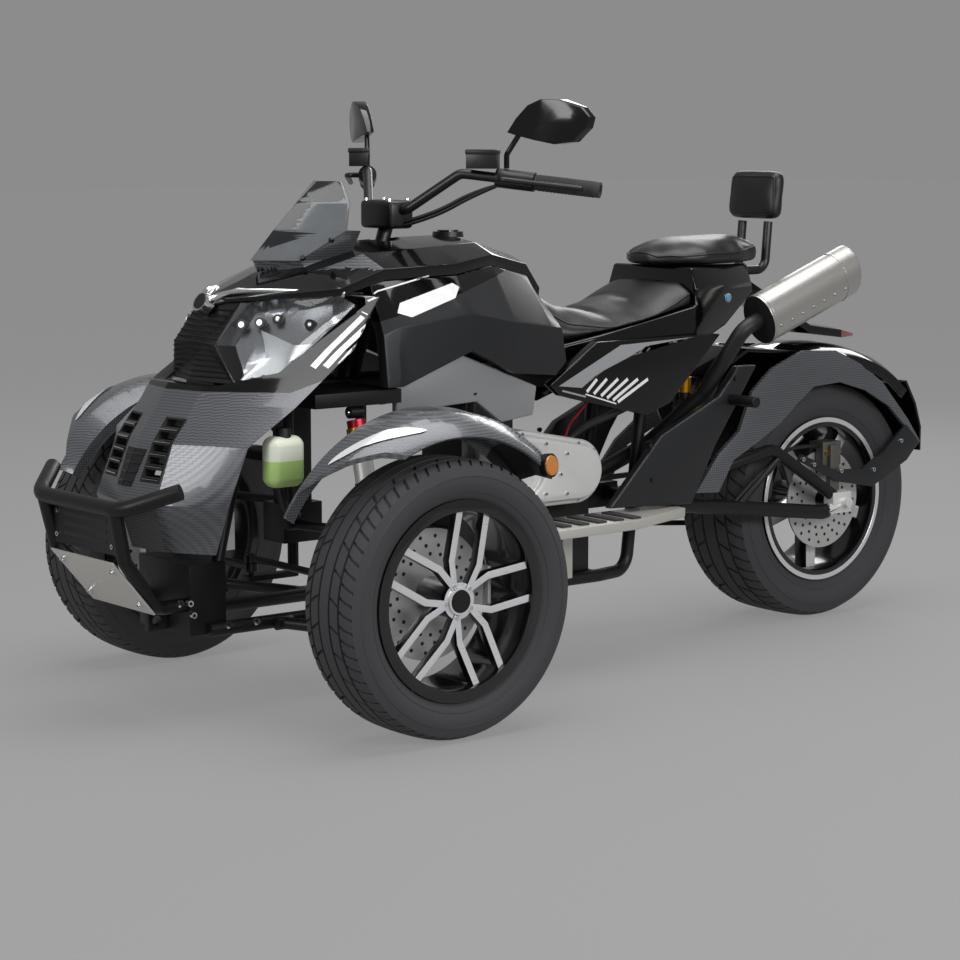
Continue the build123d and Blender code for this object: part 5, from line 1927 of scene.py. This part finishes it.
@dataclass
class Running:
    """Uprights with pale calipers, swingarm fittings, covers and footboards, in millimetres.

    Attributes:
        caliper_from: how far ahead of or behind the front axle the pale calipers start.
        hose_clips: x of the hose's clips.
        axle_blocks: x that the swingarm's pale axle blocks lie behind.
        block_inner: half width outside which they lie, in metres.
        cover_bolts: x and z of the covers' bolts.
        tread: the first tread's front, its inner and outer end, its foot and its width.
    """

    caliper_from: float = 84
    caliper_bolts: Route = ((-1568, 130, 424), (-1528, 130, 424))
    brake_hose: Route = ((-1520, 112, 440), (-1450, 150, 452), (-1330, 158, 446),
                         (-1180, 160, 332))
    hose_clips: Flat = (-1296, -1306)
    clip: Flat = (158, 449)
    axle_blocks: float = -1500
    block_inner: float = 0.13
    cover_bolts: Outline = ((-868, 500), (-876, 418), (-1140, 640))
    cover_face: float = 200.5
    treads: int = 6
    tread: tuple[float, float, float, float, float] = (-480, 176, 286, 348, 26)
    tread_pitch: float = 52

    def uprights(self) -> None:
        """Build the uprights with their calipers."""
        front, back = at(self.caliper_from, 0, 0).x, at(-self.caliper_from, 0, 0).x
        for node in ("knuckle_left", "knuckle_right"):
            piece = finished(node, CAST_GREY, 2.0)
            piece.paint_where(CAST_ALLOY, lambda c, n: c.x < back or c.x > front)
            piece.publish()

    def rear_caliper(self) -> None:
        """Build the rear caliper with gold bolts, its hose and two clips."""
        piece = finished("rear_caliper", CAST_GREY, 3.0)
        for point in self.caliper_bolts:
            piece.bolt(at(*point), LEFT, 0.007, GOLD)
        piece.tube([at(*point) for point in self.brake_hose], 0.0045, INNER_BLACK_AND_SHADE)
        y, z = self.clip
        for x in self.hose_clips:
            piece.rod(at(x - 4, y, z), at(x + 4, y, z), 0.009, BLUE, sides=20)
        piece.publish()

    def swingarm(self) -> None:
        """Build the swingarm with pale axle blocks, and the covers beside it."""
        arm = finished("swingarm", POWDER_BLACK, 2.0)
        front = at(self.axle_blocks, 0, 0).x
        arm.paint_where(CAST_ALLOY, lambda c, n: c.x < front and abs(c.y) > self.block_inner)
        arm.publish()
        covers = finished("swingarm_covers", CHARCOAL, 4.0)
        for x, z in self.cover_bolts:
            for side in SIDES:
                covers.bolt(at(x, side * self.cover_face, z), LEFT * side, 0.006, INNER_BLACK_AND_SHADE)
        covers.publish()

    def footboards(self) -> None:
        """Build the footboards with their rubber treads."""
        piece = finished("footboards", SHEET_ALLOY, 4.0)
        first, inner, outer, foot, width = self.tread
        for step in range(self.treads):
            x = first - self.tread_pitch * step
            for side in SIDES:
                corners = [at(x, side * inner, foot), at(x - width, side * inner, foot),
                           at(x - width, side * outer, foot), at(x, side * outer, foot)]
                piece.slab(corners[::side], Vector((0, 0, 0.005)), GRIP, 1.0)
        piece.publish()

    def build(self) -> None:
        """Build the pieces round the wheels and the rider's feet."""
        self.uprights()
        self.rear_caliper()
        self.swingarm()
        self.footboards()


@dataclass
class PlainPieces:
    """Solids whose shape needs nothing more: copied, edges rounded, and finished.

    Attributes:
        finishes: solid name to finish and edge rounding in millimetres.
    """

    finishes: dict[str, tuple[Finish, float]] = field(default_factory=lambda: {
        "frame": (POWDER_BLACK, 1.5), "lower_arms": (POWDER_BLACK, 1.2), "upper_arms": (POWDER_BLACK, 1.2),
        "drop_arm": (POWDER_BLACK, 1.0), "tie_rod_left": (CHAIN_STEEL, 0.8),
        "tie_rod_right": (CHAIN_STEEL, 0.8), "backrest_rail": (BAR_BLACK, 1.0),
        "passenger_pegs": (POWDER_BLACK, 2.0), "exhaust_pipe": (HEAT_BLACK, 0.8),
        "drive_chain": (CHAIN_STEEL, 0.4), "rear_sprocket": (DISC_STEEL, 0.4)})

    def build(self) -> None:
        """Publish each solid that no other class has replaced."""
        for node in FRAME["nodes"]:
            if node not in DONE:
                finish, width = self.finishes[node]
                finished(node, finish, width).publish()


@dataclass
class Studio:
    """Plain floor, soft light and the photograph's camera.

    Attributes:
        eye: the camera's place.
        yaw: turn of the view from -Y towards -X, in radians.
        pitch: how far the view points down, in radians.
        lens_mm: the lens's focal length.
        floor_glow: how far the floor is lit up to meet the backdrop.
        lamps: name, place, aim, width, height and watts of each soft lamp.
    """

    eye: Point = (3.8359, 4.6534, 1.2375)
    yaw: float = 0.6713
    pitch: float = 0.1356
    lens_mm: float = 97.5
    sensor_mm: float = 36.0
    floor_size: float = 40.0
    floor_colour: str = "#5c5c5c"
    floor_glow: float = 0.87
    sky_colour: str = "#8c8c8c"
    lamps: tuple[tuple[str, Point, Point, float, float, float], ...] = (
        ("overhead", (0.0, 0.4, 4.2), (0.0, 0.0, 0.4), 4.2, 3.0, 150.0),
        ("side", (0.2, 5.0, 2.4), (-0.2, 0.0, 0.5), 4.4, 1.2, 130.0),
        ("nose", (5.0, 0.6, 2.2), (0.4, 0.0, 0.6), 1.6, 1.6, 60.0),
        ("tail", (-4.0, -2.4, 2.8), (-0.4, 0.0, 0.7), 2.6, 1.6, 60.0))

    def camera(self) -> None:
        """Put the camera where the photograph was taken from."""
        data = bpy.data.cameras.new("photo_camera")
        data.sensor_width, data.lens = self.sensor_mm, self.lens_mm
        level = math.cos(self.pitch)
        view = Vector((-math.sin(self.yaw) * level, -math.cos(self.yaw) * level, -math.sin(self.pitch)))
        holder = placed("photo_camera", data)
        holder.location = self.eye
        holder.rotation_euler = view.to_track_quat("-Z", "Y").to_euler()
        bpy.context.scene.camera = holder

    def floor(self) -> None:
        """Lay a wide matt floor."""
        bm = bmesh.new()
        bmesh.ops.create_grid(bm, x_segments=1, y_segments=1, size=self.floor_size)
        mesh = bpy.data.meshes.new("studio_floor")
        bm.to_mesh(mesh)
        bm.free()
        # Matt floor paint: even grey without reflections
        plain = bpy.data.materials.new("matt_floor_paint")
        plain.use_nodes = True
        sky = linear(self.sky_colour)
        feed(plain.node_tree, plain.node_tree.nodes["Principled BSDF"],
             {"Base Color": linear(self.floor_colour), "Roughness": 0.9, "Specular IOR Level": 0.1,
              "Emission Color": sky, "Emission Strength": self.floor_glow})
        mesh.materials.append(plain)
        placed("studio_floor", mesh)

    def light(self) -> None:
        """Hang the soft lamps and set the room's even light."""
        for name, place, aim, width, height, watts in self.lamps:
            data = bpy.data.lights.new(name, "AREA")
            data.shape, data.size, data.size_y, data.energy = "RECTANGLE", width, height, watts
            lamp = placed(name, data)
            lamp.location = place
            lamp.rotation_euler = (Vector(aim) - Vector(place)).to_track_quat("-Z", "Y").to_euler()
        world = bpy.data.worlds.new("studio")
        world.use_nodes = True
        feed(world.node_tree, world.node_tree.nodes["Background"],
             {"Color": linear(self.sky_colour), "Strength": 1.0})
        bpy.context.scene.world = world
        bpy.context.scene.view_settings.view_transform = "Standard"

    def build(self) -> None:
        """Set the whole stage."""
        self.camera()
        self.floor()
        self.light()


# Rows of holes in a front and in the rear disc: radius in metres, and offset in degrees
FRONT_ROWS = ((0.084, 0), (0.102, 6), (0.121, 12))
REAR_ROWS = ((0.074, 0), (0.092, 6), (0.110, 12))
# Where every rim meets its tyre
BEAD_RADIUS = 0.2073


def wheels() -> None:
    """Build the tyres, rims and discs of the three wheels."""
    for name, side in (("left", 1), ("right", -1)):
        centre = on_side(FRONT_HUB, side)
        Tyre("front_tyre_" + name, centre, 0.288, 0.0875, BEAD_RADIUS).build()
        Rim("front_rim_" + name, centre, ((side * 0.5925, side),), cap=0.026).build()
        faces = tuple(sorted((side * 0.490, side * 0.4947)))
        BrakeDisc("front_disc_" + name, centre, faces, FRONT_ROWS, 0.066).build()
    centre = at(*REAR_HUB)
    Tyre("rear_tyre", centre, 0.303, 0.1125, BEAD_RADIUS, 56).build()
    Rim("rear_rim", centre, ((0.062, 1), (0.022, -1)), lip=(0.1005, 0.2066)).build()
    BrakeDisc("rear_disc", centre, (0.0953, 0.100), REAR_ROWS, 0.05).build()


def main() -> None:
    """Build every sub-assembly in order, then the stage."""
    logging.basicConfig(level=logging.INFO, format="%(message)s")
    wheels()
    for side, name in ((1, "left"), (-1, "right")):
        FrontFender("front_fender_" + name, side).build()
    for assembly in (RearFender, NoseCowl, Headlamps, Front, Bodywork):
        assembly().build()
    seats()
    for assembly in (Tail, Drive, Dampers, FrontEnd, Cockpit, Running, PlainPieces, Studio):
        assembly().build()


if __name__ == "__main__":
    main()
